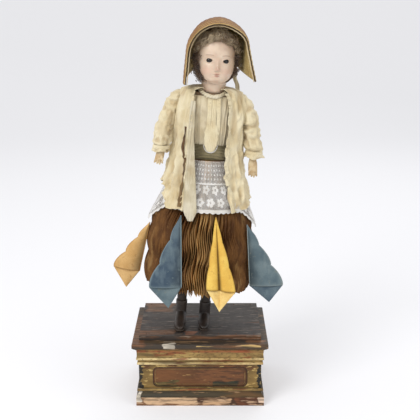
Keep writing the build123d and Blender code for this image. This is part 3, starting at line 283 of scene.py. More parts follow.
def tube(path: Points, radii: Union[float, Points], sides: int = 10, closed: bool = False) -> Form:
    """Points and faces of a round tube along a path.

    Args:
        path: Points of the middle line.
        radii: One radius, or one for each point.
        sides: Faces round it.
        closed: Whether the path joins its own start.

    Returns:
        The tube's points and its faces, with poles at open ends.
    """
    path = np.asarray(path, float)
    radii = np.broadcast_to(radii, len(path))
    if closed:
        way = np.roll(path, -1, 0) - np.roll(path, 1, 0)
    else:
        way = np.gradient(path, axis=0)
    way /= np.linalg.norm(way, axis=1)[:, None]
    side = np.cross(way[0], [0.31, 0.17, 0.93])
    rings = []
    for point, forward, radius in zip(path, way, radii):
        side = side - forward * (side @ forward)
        side /= np.linalg.norm(side)
        up = np.cross(forward, side)
        angles = full_turn(sides)
        rings.append(point + radius * (np.cos(angles)[:, None] * side + np.sin(angles)[:, None] * up))
    points = np.array(rings).reshape(-1, 3)
    faces = grid_faces(len(path), sides, True)
    if closed:
        last = (len(path) - 1) * sides
        faces += [(last + j, last + (j + 1) % sides, (j + 1) % sides, j) for j in range(sides)]
        return points, faces
    for row, end in ((0, False), (len(path) - 1, True)):
        faces += cap_faces(row, sides, len(points), end)
        points = np.vstack([points, path[row] + way[row] * radii[row] * (0.5 if end else -0.5)])
    return points, faces


def joined(name: str, parts: Iterable[Form]) -> Thing:
    """One object from several sets of points and faces."""
    points, faces, start = [], [], 0
    for part_points, part_faces in parts:
        points.append(part_points)
        faces += [tuple(start + i for i in face) for face in part_faces]
        start += len(part_points)
    return mesh_piece(name, np.vstack(points), faces)


def settle(obj: Thing) -> Thing:
    """Turns an object with its modifiers into a plain mesh."""
    graph = bpy.context.evaluated_depsgraph_get()
    mesh = bpy.data.meshes.new_from_object(
        obj.evaluated_get(graph), preserve_all_data_layers=True, depsgraph=graph)
    obj.modifiers.clear()
    obj.data = mesh
    mesh.shade_smooth()
    return obj


def thicken(obj: Thing, thickness: float, offset: float = -1.0, lining: bool = False) -> Thing:
    """Gives a skin its thickness in metres, and a lining in its second material if asked."""
    for _ in range(2 if lining else 0):
        obj.data.materials.append(None)
    wall = obj.modifiers.new("wall", "SOLIDIFY")
    wall.thickness, wall.offset = thickness, offset
    wall.material_offset = 1 if lining else 0
    return settle(obj)


def fuse(obj: Thing, voxel: float, smooth: int = 4) -> Thing:
    """Melts an object's parts into one skin, voxel metres fine."""
    remesh = obj.modifiers.new("fuse", "REMESH")
    remesh.mode, remesh.voxel_size = "VOXEL", voxel
    even = obj.modifiers.new("even", "SMOOTH")
    even.factor, even.iterations = 0.5, smooth
    return settle(obj)


def mark(obj: Thing, name: str, values: Points) -> None:
    """Stores one number for each vertex, which a finish can read by its name."""
    layer = obj.data.attributes.new(name, "FLOAT", "POINT")
    layer.data.foreach_set("value", np.asarray(values, np.float32).ravel())


# ---- node trees
class Graph:
    """Short calls that fill a node tree."""

    def __init__(self, tree: bpy.types.NodeTree) -> None:
        """Keeps the tree that the calls fill."""
        self.tree = tree

    def put(self, node: bpy.types.Node, key: Union[int, str], value: Value) -> None:
        """Links a socket to an input, or sets the input's own value."""
        if isinstance(value, Socket):
            self.tree.links.new(value, node.inputs[key])
        else:
            node.inputs[key].default_value = value

    def add(self, kind: str, inputs: Optional[dict] = None, **settings: Value) -> bpy.types.Node:
        """A new node.

        Args:
            kind: Its Blender type.
            inputs: A value or socket for each input, by number or name.
            **settings: The node's own settings.

        Returns:
            The node.
        """
        node = self.tree.nodes.new(kind)
        for key, value in settings.items():
            setattr(node, key, value)
        for key, value in (inputs or {}).items():
            self.put(node, key, value)
        return node

    def math(self, operation: str, a: Value, b: Value = 0.0, clamp: bool = False) -> Socket:
        """The result of a Math node."""
        node = self.add("ShaderNodeMath", {0: a, 1: b}, operation=operation, use_clamp=clamp)
        return node.outputs[0]

    def times(self, a: Value, b: Value) -> Socket:
        """The product of two values."""
        return self.math("MULTIPLY", a, b)

    def plus(self, a: Value, b: Value, clamp: bool = False) -> Socket:
        """The sum of two values."""
        return self.math("ADD", a, b, clamp)

    def minus(self, a: Value, b: Value) -> Socket:
        """The first value less the second."""
        return self.math("SUBTRACT", a, b)

    def stored(self, name: str) -> Socket:
        """The number that a mesh stores under a name."""
        return self.add("ShaderNodeAttribute", attribute_name=name).outputs["Fac"]

    def mix(self, share: Value, a: Value, b: Value) -> Socket:
        """A colour between two, each a socket or a colour as given on screen."""
        ends = [paint_colour(c) if isinstance(c, tuple) else c for c in (a, b)]
        node = self.add("ShaderNodeMix", {0: share, 6: ends[0], 7: ends[1]}, data_type="RGBA")
        return node.outputs[2]

    def noise(self, at: Socket, scale: float, detail: float = 4.0, stretch: Triple = (1.0, 1.0,
                                                                                      1.0)) -> Socket:
        """Noise from 0 to 1, scale times a metre, drawn out where stretch is small."""
        placed = self.add("ShaderNodeMapping", {0: at, 3: stretch})
        node = self.add(
            "ShaderNodeTexNoise", {"Vector": placed.outputs[0], "Scale": scale, "Detail": detail})
        return node.outputs[0]

    def between(self, value: Socket, low: float, high: float) -> Socket:
        """A smooth rise from 0 to 1 as the value goes from low to high."""
        node = self.add("ShaderNodeMapRange", {0: value, 1: low, 2: high}, interpolation_type="SMOOTHSTEP")
        return node.outputs[0]

    def patch(self, at: Socket, low: Triple, high: Triple, soft: float, ragged: Socket) -> Socket:
        """A ragged patch that is 1 inside a box in millimetres and 0 outside it."""
        parts = self.add("ShaderNodeSeparateXYZ", {0: at})
        shares = []
        for place_along, start, end in zip(parts.outputs, low, high):
            middle, half = (start + end) / 2 * MM, (end - start) / 2 * MM
            away = self.math("ABSOLUTE", self.minus(place_along, middle))
            away = self.plus(away, self.times(ragged, soft * 2 * MM + 0.009))
            shares.append(self.between(away, half + soft * MM, half))
        return self.times(self.times(shares[0], shares[1]), shares[2])


def paint_colour(colour: Colour) -> tuple[float, float, float, float]:
    """A colour given as 0 to 255 on screen, as a node takes it."""
    return (*(((c / 255 + 0.055) / 1.055) ** 2.4 if c > 10 else c / 255 / 12.92 for c in colour), 1.0)


def darker(colour: Colour, share: float) -> Colour:
    """A colour with only a share of its light on screen."""
    return tuple(share * c for c in colour)


# ---- finishes
@dataclass(frozen=True)
class Finish:
    """A plain finish: two shades that drift into each other, with a fine relief."""

    name: str
    colour: Colour
    second: Colour
    roughness: float = 0.65
    drift: float = 45.0
    grain: float = 900.0
    stretch: Triple = (1.0, 1.0, 1.0)
    relief_depth: float = 0.0002
    metallic: float = 0.0
    sheen: float = 0.0
    coat: float = 0.0
    specular: float = 0.35

    def paint(self, g: Graph, at: Socket) -> Socket:
        """The colour, from object coordinates."""
        blend = g.between(g.noise(at, self.drift, 5.0, self.stretch), 0.35, 0.65)
        speck = g.between(g.noise(at, self.grain, 3.0, self.stretch), 0.25, 0.75)
        base = g.mix(blend, self.colour, self.second)
        dark = darker(self.second, 0.8)
        return g.mix(g.times(speck, 0.3), base, dark)

    def relief(self, g: Graph, at: Socket) -> Socket:
        """The height of the surface, from 0 to 1."""
        return g.noise(at, self.grain, 4.0, self.stretch)

    def shine(self, g: Graph, at: Socket) -> Value:
        """The roughness: uneven, as on a handled thing."""
        uneven = g.times(g.noise(at, self.drift * 2.5, 3.0), 0.24)
        return g.plus(uneven, self.roughness - 0.12, clamp=True)

    def material(self) -> bpy.types.Material:
        """The finish as a material, made once."""
        title = f"{self.name}_finish"
        found = bpy.data.materials.get(title)
        if found is not None:
            return found
        made = bpy.data.materials.new(title)
        made.use_nodes = True
        made.node_tree.nodes.clear()
        g = Graph(made.node_tree)
        at = g.add("ShaderNodeTexCoord").outputs["Object"]
        bump = g.add(
            "ShaderNodeBump", {"Strength": 0.8, "Distance": self.relief_depth, "Height": self.relief(g,
                at)})
        shader = g.add(
            "ShaderNodeBsdfPrincipled", {"Base Color": self.paint(g, at), "Roughness": self.shine(g, at),
                "Normal": bump.outputs[0], "Metallic": self.metallic, "Specular IOR Level": self.specular,
                "Sheen Weight": self.sheen, "Coat Weight": self.coat})
        self.refine(shader)
        g.add("ShaderNodeOutputMaterial", {0: shader.outputs[0]})
        return made

    def refine(self, shader: bpy.types.Node) -> None:
        """Sets what else the finish needs on its shader."""


@dataclass(frozen=True)
class Timber(Finish):
    """Painted or stained wood: streaked, dirty, rubbed bare, flaked, and patched in places."""

    bare: Colour = (120, 72, 38)
    worn: float = 0.62
    fleck: Colour = (172, 136, 98)
    flecked: float = 0.62
    patches: tuple = ()

    def paint(self, g: Graph, at: Socket) -> Socket:
        """Streaks, dirt, rubbed and flaked spots, and the patches in the places given."""
        base = Finish.paint(self, g, at)
        grime = g.between(g.noise(at, 34.0, 8.0, self.stretch), 0.48, 0.66)
        base = g.mix(g.times(grime, 0.5), base, darker(self.second, 0.42))
        rubbed = g.between(g.noise(at, 70.0, 9.0, self.stretch), self.worn, self.worn + 0.07)
        shade = g.mix(g.noise(at, 220.0, 4.0, self.stretch), self.bare, darker(self.bare, 0.6))
        base = g.mix(g.times(rubbed, 0.85), base, shade)
        ragged = g.minus(g.noise(at, 190.0, 7.0, self.stretch), 0.5)
        for low, high, colour, soft in self.patches:
            share = g.patch(at, low, high, soft, ragged)
            tone = g.mix(g.between(g.noise(at, 420.0, 6.0, self.stretch), 0.4, 0.6), colour,
                         darker(colour, 0.72))
            base = g.mix(share, base, tone)
        flecks = g.between(g.noise(at, 430.0, 9.0, self.stretch), self.flecked, self.flecked + 0.05)
        base = g.mix(g.times(flecks, 0.6), base, self.fleck)
        scratch = g.between(g.noise(at, 420.0, 8.0, (0.12, 1.0, 2.5)), 0.66, 0.7)
        return g.mix(g.times(scratch, 0.5), base, self.bare)

    def relief(self, g: Graph, at: Socket) -> Socket:
        """Grain, with the rubbed patches a little lower."""
        wear = g.between(g.noise(at, 70.0, 9.0, self.stretch), self.worn, self.worn + 0.07)
        return g.minus(g.noise(at, self.grain, 5.0, self.stretch), g.times(wear, 0.8))


@dataclass(frozen=True)
class Gilding(Finish):
    """Gold leaf on red clay, rubbed through and dark with dirt in its hollows."""

    clay: Colour = (128, 62, 34)
    dirt: Colour = (58, 46, 28)

    def paint(self, g: Graph, at: Socket) -> Socket:
        """Leaf, clay and dirt."""
        base = Finish.paint(self, g, at)
        clay = g.between(g.noise(at, 130.0, 8.0, (0.35, 0.35, 1.6)), 0.56, 0.64)
        dirt = g.between(g.noise(at, 60.0, 7.0, (0.25, 0.25, 2.2)), 0.5, 0.64)
        grit = g.between(g.noise(at, 460.0, 9.0, (0.5, 0.5, 1.5)), 0.53, 0.6)
        dirt = g.math("MAXIMUM", dirt, g.times(grit, 0.7))
        base = g.mix(g.times(clay, 0.75), base, self.clay)
        return g.mix(g.times(dirt, 0.7), base, self.dirt)


@dataclass(frozen=True)
class Cloth(Finish):
    """Woven cloth: threads over and under on the piece's own map, with old stains."""

    threads: float = 26.0
    stain: Colour = (170, 142, 92)
    stained: float = 0.55
    sheen: float = 0.25

    def weave(self, g: Graph) -> Socket:
        """Threads crossing on the piece's own map, from 0 to 1."""
        at = g.add("ShaderNodeUVMap", uv_map="UVMap").outputs[0]
        waves = []
        for direction in ("X", "Y"):
            wave = g.add(
                "ShaderNodeTexWave", {"Vector": at, "Scale": self.threads / 6.28 * 2, "Distortion": 0.6,
                    "Detail": 2.0}, wave_type="BANDS", bands_direction=direction, wave_profile="SIN")
            waves.append(wave.outputs[1])
        return g.math("MAXIMUM", waves[0], waves[1])

    def paint(self, g: Graph, at: Socket) -> Socket:
        """Cloth with broad stains, and painted shade in its stored creases and in the gaps between the
        threads.
        """
        blend = g.between(g.noise(at, self.drift, 6.0), 0.35, 0.68)
        base = g.mix(blend, self.colour, self.second)
        stains = g.between(g.noise(at, 38.0, 9.0), self.stained, self.stained + 0.13)
        base = g.mix(g.times(stains, 0.4), base, self.stain)
        # painted shade: the creases that the mesh stores darken the cloth
        crease = g.stored("crease")
        base = g.mix(crease, base, tuple(c * s for c, s in zip(self.second, (0.84, 0.77, 0.68))))
        # painted shade: the gaps between the threads, low in the weave's relief, are darkened
        gap = g.minus(1.0, self.weave(g))
        dark = darker(self.second, 0.66)
        return g.mix(g.times(gap, 0.22), base, dark)

    def relief(self, g: Graph, at: Socket) -> Socket:
        """Threads and small creases."""
        crease = g.times(g.noise(at, 320.0, 5.0), 1.6)
        return g.plus(self.weave(g), crease)


@dataclass(frozen=True)
class Paper(Finish):
    """Old paper: foxed and handled, paler or darker by the number that its mesh stores."""

    edge: Colour = (150, 110, 60)
    edge_name: str = "edge"
    foxing: Colour = (112, 84, 44)

    def paint(self, g: Graph, at: Socket) -> Socket:
        """Sheet, edge and foxing, with painted shade along the stored fold."""
        base = Finish.paint(self, g, at)
        edge = g.stored(self.edge_name)
        # painted shade: the stored fold darkens the page by its spine
        fold = g.stored("fold")
        base = g.mix(fold, base, darker(self.second, 0.34))
        base = g.mix(edge, base, self.edge)
        spots = g.between(g.noise(at, 260.0, 6.0), 0.61, 0.68)
        rub = g.between(g.noise(at, 90.0, 10.0, (1.0, 1.0, 0.3)), 0.55, 0.7)
        base = g.mix(g.times(rub, 0.28), base, self.edge)
        return g.mix(g.times(spots, 0.5), base, self.foxing)


@dataclass(frozen=True)
class Wax(Finish):
    """Pale wax over a composition head, tinted where the mesh says so."""

    blush: Colour = (206, 150, 132)
    lip: Colour = (158, 92, 80)
    brow: Colour = (128, 100, 76)
    lash: Colour = (70, 48, 36)

    def paint(self, g: Graph, at: Socket) -> Socket:
        """Mottled wax with its painted features."""
        blend = g.between(g.noise(at, 75.0, 6.0), 0.35, 0.68)
        base = g.mix(blend, self.colour, self.second)
        for name, colour in (
                ("blush", self.blush), ("lip", self.lip), ("brow", self.brow), ("lash", self.lash)):
            mask = g.stored(name)
            base = g.mix(mask, base, colour)
        crackle = g.add("ShaderNodeTexVoronoi", {"Vector": at, "Scale": 150.0},
                        feature="DISTANCE_TO_EDGE").outputs["Distance"]
        line = g.minus(1.0, g.between(crackle, 0.0, 0.03))
        grime = g.times(line, g.between(g.noise(at, 45.0, 3.0), 0.55, 0.75))
        return g.mix(g.times(grime, 0.35), base, (140, 112, 90))

    def refine(self, shader: bpy.types.Node) -> None:
        """Light that sinks into the wax."""
        shader.inputs["Subsurface Weight"].default_value = 0.12
        shader.inputs["Subsurface Radius"].default_value = (0.003, 0.0015, 0.001)
        shader.inputs["Subsurface Scale"].default_value = 0.6


@dataclass(frozen=True)
class Plait(Finish):
    """Straw plait sewn row on row: rows, crossing straws and darker sewn bands."""

    band: Colour = (130, 75, 35)
    rows: float = 2.38

    def straws(self, g: Graph) -> Socket:
        """The crossing straws of each row, from 0 to 1."""
        at = g.add("ShaderNodeUVMap", uv_map="UVMap").outputs[0]
        parts = g.add("ShaderNodeSeparateXYZ", {0: at})
        zigzag = g.math("PINGPONG", g.times(parts.outputs[1], self.rows), 0.5)
        slant = g.plus(g.times(parts.outputs[0], 7.0), zigzag)
        return g.math("PINGPONG", slant, 0.5)

    def paint(self, g: Graph, at: Socket) -> Socket:
        """Straw, with brown bands along the sewn rows and painted shade between the crossing straws."""
        own = g.add("ShaderNodeUVMap", uv_map="UVMap").outputs[0]
        parts = g.add("ShaderNodeSeparateXYZ", {0: own})
        row = g.math("PINGPONG", g.times(parts.outputs[1], self.rows), 0.5)
        base = Finish.paint(self, g, at)
        band = g.between(row, 0.27, 0.33)
        worn = g.between(g.noise(at, 120.0, 6.0), 0.2, 0.45)
        base = g.mix(g.times(band, worn), base, self.band)
        # painted shade: the low places between the crossing straws are darkened
        cross = g.minus(0.5, self.straws(g))
        return g.mix(g.times(cross, 0.7), base, darker(self.colour, 0.55))

    def relief(self, g: Graph, at: Socket) -> Socket:
        """Straws standing over each other."""
        return g.times(self.straws(g), 2.0)


BARE_BROWN: Colour = (116, 80, 54)
GESSO: Colour = (224, 212, 192)
GLAZE_BLACK: Colour = (40, 37, 31)
TOP_PAINT = Timber(
    "top_paint", (74, 66, 60), (50, 43, 40), 0.55, 90, 700, (0.12, 1, 1), 0.0004, bare=(122, 80, 52),
    worn=0.61, fleck=(150, 136, 120), flecked=0.6, patches=(
        ((-70, -46.5, 79), (70, -44.6, 81.2), BARE_BROWN, 2),
        ((-71, -44, 81.2), (-30, -30, 83), BARE_BROWN, 4),
        ((-62, 26, 81.2), (-36, 46, 83), (128, 92, 66), 4),
        ((-16, -43, 81.2), (-6, -36, 83), (140, 92, 66), 2)))
CORNICE_PAINT = Timber(
    "cornice_paint", (54, 48, 42), (78, 62, 44), 0.5, 80, 700, (0.12, 1, 1), 0.0004, bare=(124, 82, 48),
    worn=0.6, flecked=0.6, patches=(
        ((-39.5, -60, 70.5), (-28.5, -50, 75.2), GESSO, 1),
        ((-78, -60, 74.5), (-62, 20, 78), BARE_BROWN, 3),
        ((52, -60, 76.5), (70, -46, 79), BARE_BROWN, 3),
        ((-4, -60, 73.8), (66, -56, 74.7), (196, 164, 104), 0.6)))
PANEL_PAINT = Timber(
    "panel_paint", (150, 120, 64), (106, 82, 42), 0.5, 60, 700, (0.3, 1, 1), 0.0003, bare=(104, 62, 32),
    worn=0.58, fleck=(206, 176, 108), flecked=0.57, patches=(
        ((-70, -56, 19), (-64.2, -44, 52), GLAZE_BLACK, 1.2),
        ((64.2, -56, 19), (70, -44, 52), GLAZE_BLACK, 1.2),
        ((-50, -56, 47.5), (50, -44, 53), (112, 70, 34), 2)))
CARTOUCHE_PAINT = Timber(
    "cartouche_paint", (118, 74, 38), (94, 58, 28), 0.42, 50, 600, (0.2, 1, 1), 0.0003, bare=(116, 66, 36),
    worn=0.6, fleck=(176, 140, 84), flecked=0.64, patches=(
        ((0, -56, 27), (47, -44, 42), (112, 70, 38), 6),
        ((15, -56, 22.6), (41, -44, 27.2), (50, 50, 32), 2),
        ((-50, -56, 22.6), (-26, -44, 26.2), (92, 78, 40), 2)))
PLINTH_PAINT = Timber(
    "plinth_paint", (138, 98, 66), (104, 72, 48), 0.6, 70, 700, (0.14, 1, 1), 0.0005, bare=(78, 50, 32),
    worn=0.56, fleck=(214, 178, 142), flecked=0.55, patches=(
        ((-60, -60, 2.2), (-4, -48, 10), (212, 176, 138), 2),
        ((4, -60, 1.4), (34, -48, 7.4), (202, 162, 122), 2),
        ((40, -60, 1.2), (62, -48, 10), (112, 66, 40), 3),
        ((-72.5, -56, 6), (-67.5, -48, 11.2), GESSO, 1),
        ((66, -56, 4), (72.5, -48, 10.6), (226, 196, 170), 1)))
CASE_WOOD = Timber(
    "case_wood", (120, 84, 52), (92, 62, 38), 0.7, 60, 800, (1, 1, 0.12), 0.0004, bare=(150, 112, 74),
    worn=0.62)
RAW_WOOD = Finish("raw_wood", (166, 128, 84), (132, 96, 60), 0.75, 70, 900, (1, 1, 0.1), 0.0003)
COVE_PAINT = Timber(
    "cove_paint", (50, 48, 38), (72, 60, 38), 0.5, 60, 700, (0.15, 1, 1), 0.0004, bare=(118, 84, 46),
    worn=0.6, patches=(
        ((-72, -56, 10.5), (-66.5, -48, 19), GESSO, 1),))
GILT = Gilding("gilt", (176, 146, 88), (128, 100, 56), 0.45, 80, 700, (0.3, 0.3, 1), 0.0003, metallic=0.25)
BRIGHT_GILT = Gilding(
    "bright_gilt", (230, 206, 150), (180, 146, 88), 0.38, 90, 700, (0.3, 0.3, 1), 0.0002, metallic=0.15)
RED_CLAY = Gilding("red_clay", (164, 84, 48), (150, 116, 66), 0.5, 90, 700, (0.3, 0.3, 1), 0.0003)
IRON = Finish("iron", (86, 80, 74), (104, 70, 48), 0.5, 120, 900, relief_depth=0.0002, metallic=0.75)
STEEL = Finish("steel", (150, 150, 148), (120, 116, 110), 0.38, 120, 900, metallic=0.9)
BRASS = Finish("brass", (184, 150, 82), (140, 108, 56), 0.36, 120, 900, metallic=0.85)
KNOB_WOOD = Timber(
    "knob_wood", (96, 56, 30), (66, 38, 22), 0.35, 120, 900, (1, 0.15, 1), 0.0002, bare=(132, 86, 50),
    worn=0.66, coat=0.25)
BOOT_BLACK = Finish(
    "boot_black", (38, 34, 32), (58, 46, 38), 0.42, 90, 1100, relief_depth=0.0002, coat=0.15)
LEG_BLACK = Finish("leg_black", (44, 38, 34), (62, 50, 40), 0.55, 90, 900)
COMPOSITION = Finish("composition", (150, 124, 96), (122, 98, 74), 0.75, 80, 800)
KID = Finish("kid", (226, 208, 172), (188, 158, 116), 0.6, 90, 1400, relief_depth=0.0002)
COTTON = Cloth("cotton", (240, 227, 192), (224, 206, 164), 0.8, 55, stain=(190, 162, 112), stained=0.58)
# the same cotton darkened as painted shade, for the insides of the jacket and sleeves
COTTON_IN_SHADE = Cloth("cotton_in_shade", (214, 196, 158), (186, 162, 118), 0.85, 60, stain=(150, 122, 78))
BLOUSE = Cloth("blouse_cotton", (238, 225, 194), (222, 204, 166), 0.8, 60, threads=30)
# painted shade for the discs in the eyelet holes
EYELET_SHADE = Finish("eyelet_shade", (138, 112, 76), (104, 82, 54), 0.85, 90)
LACE_WHITE = Cloth(
    "lace_white", (243, 240, 235), (226, 220, 210), 0.75, 70, threads=34, stain=(206, 190, 164),
    stained=0.62)
SASH_MESH = Cloth(
    "sash_mesh", (150, 138, 104), (108, 98, 66), 0.8, 70, threads=16, stain=(84, 70, 44), stained=0.5)
RIBBON = Cloth("ribbon", (230, 220, 194), (206, 192, 158), 0.6, 60, threads=34)
DARK_BRAID = Cloth(
    "dark_braid", (112, 82, 52), (76, 54, 34), 0.8, 160, threads=14, stain=(176, 148, 100), stained=0.5)
WAX = Wax("wax", (216, 194, 172), (198, 172, 150), 0.42, 60, 900, relief_depth=0.0001, coat=0.08)
EYE_GLASS = Finish(
    "eye_glass", (26, 16, 12), (14, 10, 8), 0.08, 300, 900, relief_depth=0.00001, coat=0.3, specular=0.4)
MOHAIR = Finish("mohair", (206, 186, 152), (128, 100, 68), 0.6, 210, 2600, (1, 1, 0.4), 0.0003, sheen=0.3)
# darker mohair; on the wig cap it is painted shade under and between the curls
DARK_MOHAIR = Finish(
    "dark_mohair", (112, 84, 56), (72, 50, 32), 0.6, 160, 2600, (1, 1, 0.4), 0.0003, sheen=0.3)
STRAW = Plait("straw", (206, 168, 106), (176, 134, 76), 0.55, 90, relief_depth=0.0004, band=(116, 66, 32))
STRAW_LINING = Plait(
    "straw_lining", (206, 184, 128), (176, 150, 92), 0.65, 90, relief_depth=0.0003, band=(150, 124, 74))
BONNET_WIRE = Finish("bonnet_wire", (74, 48, 30), (52, 34, 22), 0.6, 200)
BONNET_PIPING = Cloth("bonnet_piping", (226, 208, 170), (204, 180, 136), 0.7)
LEAF_EDGES = Paper(
    "leaf_edges", (136, 92, 46), (96, 60, 28), 0.8, 120, 1200, (1, 1, 0.3), edge=(224, 182, 116),
    foxing=(136, 96, 52))
BUFF_PAPER = Paper("buff_paper", (222, 182, 122), (204, 160, 98), 0.75, 60, 1300, edge=(168, 122, 66),
                   foxing=(170, 124, 70))
BLUE_PAPER = Paper(
    "blue_paper", (92, 108, 116), (56, 74, 90), 0.7, 50, 1300, edge=(128, 146, 150), foxing=(96, 112, 112))
YELLOW_PAPER = Paper("yellow_paper", (236, 198, 96), (222, 176, 76), 0.72, 60, 1300, edge=(120, 78, 26),
                     foxing=(196, 148, 66))
PALE_PAPER = Paper("pale_paper", (243, 214, 140), (228, 190, 112), 0.72, 60, 1300, edge=(176, 128, 62),
                   foxing=(206, 162, 92))
SLATE_PAPER = Paper("slate_paper", (108, 124, 128), (80, 98, 106), 0.7, 50, 1300, edge=(140, 150, 148),
                    foxing=(112, 118, 110))


# ---- geometry recipes
class Recipe:
    """A Geometry Nodes tree with named sizes, run once and kept as a plain mesh."""

    def __init__(self, name: str) -> None:
        """Starts an empty tree."""
        self.name = name
        self.tree = bpy.data.node_groups.new(name, "GeometryNodeTree")
        self.g = Graph(self.tree)
        self.source = self.tree.nodes.new("NodeGroupInput")
        self.values: list[tuple[str, Value]] = []

    def size(self, name: str, value: Value, kind: str = "NodeSocketFloat") -> Socket:
        """A named input of the tree with its value."""
        made = self.tree.interface.new_socket(name, in_out="INPUT", socket_type=kind)
        self.values.append((made.identifier, value))
        return self.source.outputs[name]

    def count(self, name: str, value: int) -> Socket:
        """A named input of the tree that is a whole number."""
        return self.size(name, value, "NodeSocketInt")

    def run(self, geometry: Socket, finish: Finish, base: Optional[Thing] = None) -> Thing:
        """Ends the tree, runs it and keeps the result.

        Args:
            geometry: The last geometry.
            finish: The finish that it is given.
            base: The object whose mesh the tree reads, or nothing.

        Returns:
            A plain mesh object at the origin.
        """
        self.tree.interface.new_socket("Geometry", in_out="OUTPUT", socket_type="NodeSocketGeometry")
        coat = self.size("Finish", finish.material(), "NodeSocketMaterial")
        whole = self.g.add("GeometryNodeRealizeInstances", {0: geometry})
        dressed = self.g.add("GeometryNodeSetMaterial", {"Geometry": whole.outputs[0], "Material": coat})
        self.g.add("NodeGroupOutput", {0: dressed.outputs[0]})
        obj = base
        if obj is None:
            obj = bpy.data.objects.new(self.name, bpy.data.meshes.new(self.name))
            bpy.context.scene.collection.objects.link(obj)
        modifier = obj.modifiers.new("recipe", "NODES")
        modifier.node_group = self.tree
        for identifier, value in self.values:
            modifier[identifier] = value
        return settle(obj)

    def instances_at(self, finish: Finish, item: Socket, places: Points, turns: Points,
                     sizes: Points) -> Thing:
        """Runs the tree with an item set at each place, turned and sized there."""
        base = mesh_piece(self.name, places, [])
        turn = base.data.attributes.new("turn", "FLOAT_VECTOR", "POINT")
        turn.data.foreach_set("vector", np.asarray(turns, np.float32).ravel())
        mark(base, "size", sizes)
        given = self.tree.interface.new_socket("Geometry", in_out="INPUT", socket_type="NodeSocketGeometry")
        self.tree.interface.move(given, 0)
        turned = self.g.add("GeometryNodeInputNamedAttribute", {0: "turn"}, data_type="FLOAT_VECTOR")
        sized = self.g.add("GeometryNodeInputNamedAttribute", {0: "size"}, data_type="FLOAT")
        spread = self.g.add(
            "GeometryNodeInstanceOnPoints", {"Points": self.source.outputs["Geometry"], "Instance": item,
                "Rotation": turned.outputs[0], "Scale": sized.outputs[0]})
        return self.run(spread.outputs[0], finish, base)


# ---- setting pieces in place
Coat = Union[Finish, Sequence[Finish]]


def place(obj: Thing, body: str, finish: Coat, replaces: Sequence[str] = ()) -> Thing:
    """Gives a piece its finish, its body and the nodes that it stands for.

    Args:
        obj: The piece, with its mesh final.
        body: The body it moves with.
        finish: One finish, or one for each of its material slots.
        replaces: The nodes it stands for.

    Returns:
        The same piece.
    """
    finishes = [finish] if isinstance(finish, Finish) else list(finish)
    for number, one in enumerate(finishes):
        if number < len(obj.data.materials):
            obj.data.materials[number] = one.material()
        else:
            obj.data.materials.append(one.material())
    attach(obj, body)
    if replaces:
        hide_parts(*replaces)
    triangles = sum(len(p.vertices) - 2 for p in obj.data.polygons)
    log.info("%s: %d triangles on %s", obj.name, triangles, body)
    return obj


def cover(name: str, rows: Points, body: str, finish: Coat, slot: str, replaces: Sequence[str] = (),
          wall: float = 0.0, offset: float = 0.0, marks: Optional[dict] = None, **form: bool) -> Thing:
    """A skin through points of the figure, set in its place.

    Args:
        name: The piece's name.
        rows: Points as rows, columns and coordinates.
        body: The body it moves with.
        finish: Its finish, or one for the face and one for the lining.
        slot: The record's material slot; not used.
        replaces: The nodes it stands for.
        wall: Its thickness in millimetres.
        offset: Where the thickness lies: 0 for both sides, -1 for the inside.
        marks: Numbers to store for each point, by name.
        **form: How skin closes or flips it.

    Returns:
        The piece.
    """
    obj = skin(name, STANCE.stand(np.array(rows)), **form)
    for label, values in (marks or {}).items():
        mark(obj, label, values)
    if wall:
        thicken(obj, wall * MM, offset, lining=not isinstance(finish, Finish))
    return place(obj, body, finish, replaces)


def cord(name: str, path: Points, radius: float, sides: int, body: str, finish: Finish) -> Thing:
    """A round cord, radius millimetres thick, along a path of the figure."""
    points, faces = tube(STANCE.stand(path), radius * MM, sides)
    return place(mesh_piece(name, points, faces), body, finish)


def repaint(nodes: dict, finish: Finish, *names: str) -> None:
    """Gives CAD nodes whose shape stays a better finish."""
    for name in names:
        for slot in nodes[name].material_slots:
            slot.material = finish.material()
        log.info("%s: finished in %s", name, finish.name)


# ---- the case
class CasePart(Enum):
    """The case's nodes by what they are finished in."""

    TOP = ("raised_top_board",)
    CORNICE = ("cornice_slab",)
    FRIEZE = ("upper_moulding",)
    COVE = ("base_moulding",)
    PANELS = ("front_panel", "left_panel", "right_panel")
    PLINTH = ("bottom_board",)
    BACK = ("back_panel",)
    INSIDE = (
        "corner_blocks", "front_bearing_block", "lever_brackets", "lever_rest_posts", "left_arm_lever",
        "right_arm_lever", "head_lever", "left_arm_cam", "right_arm_cam", "head_cam")


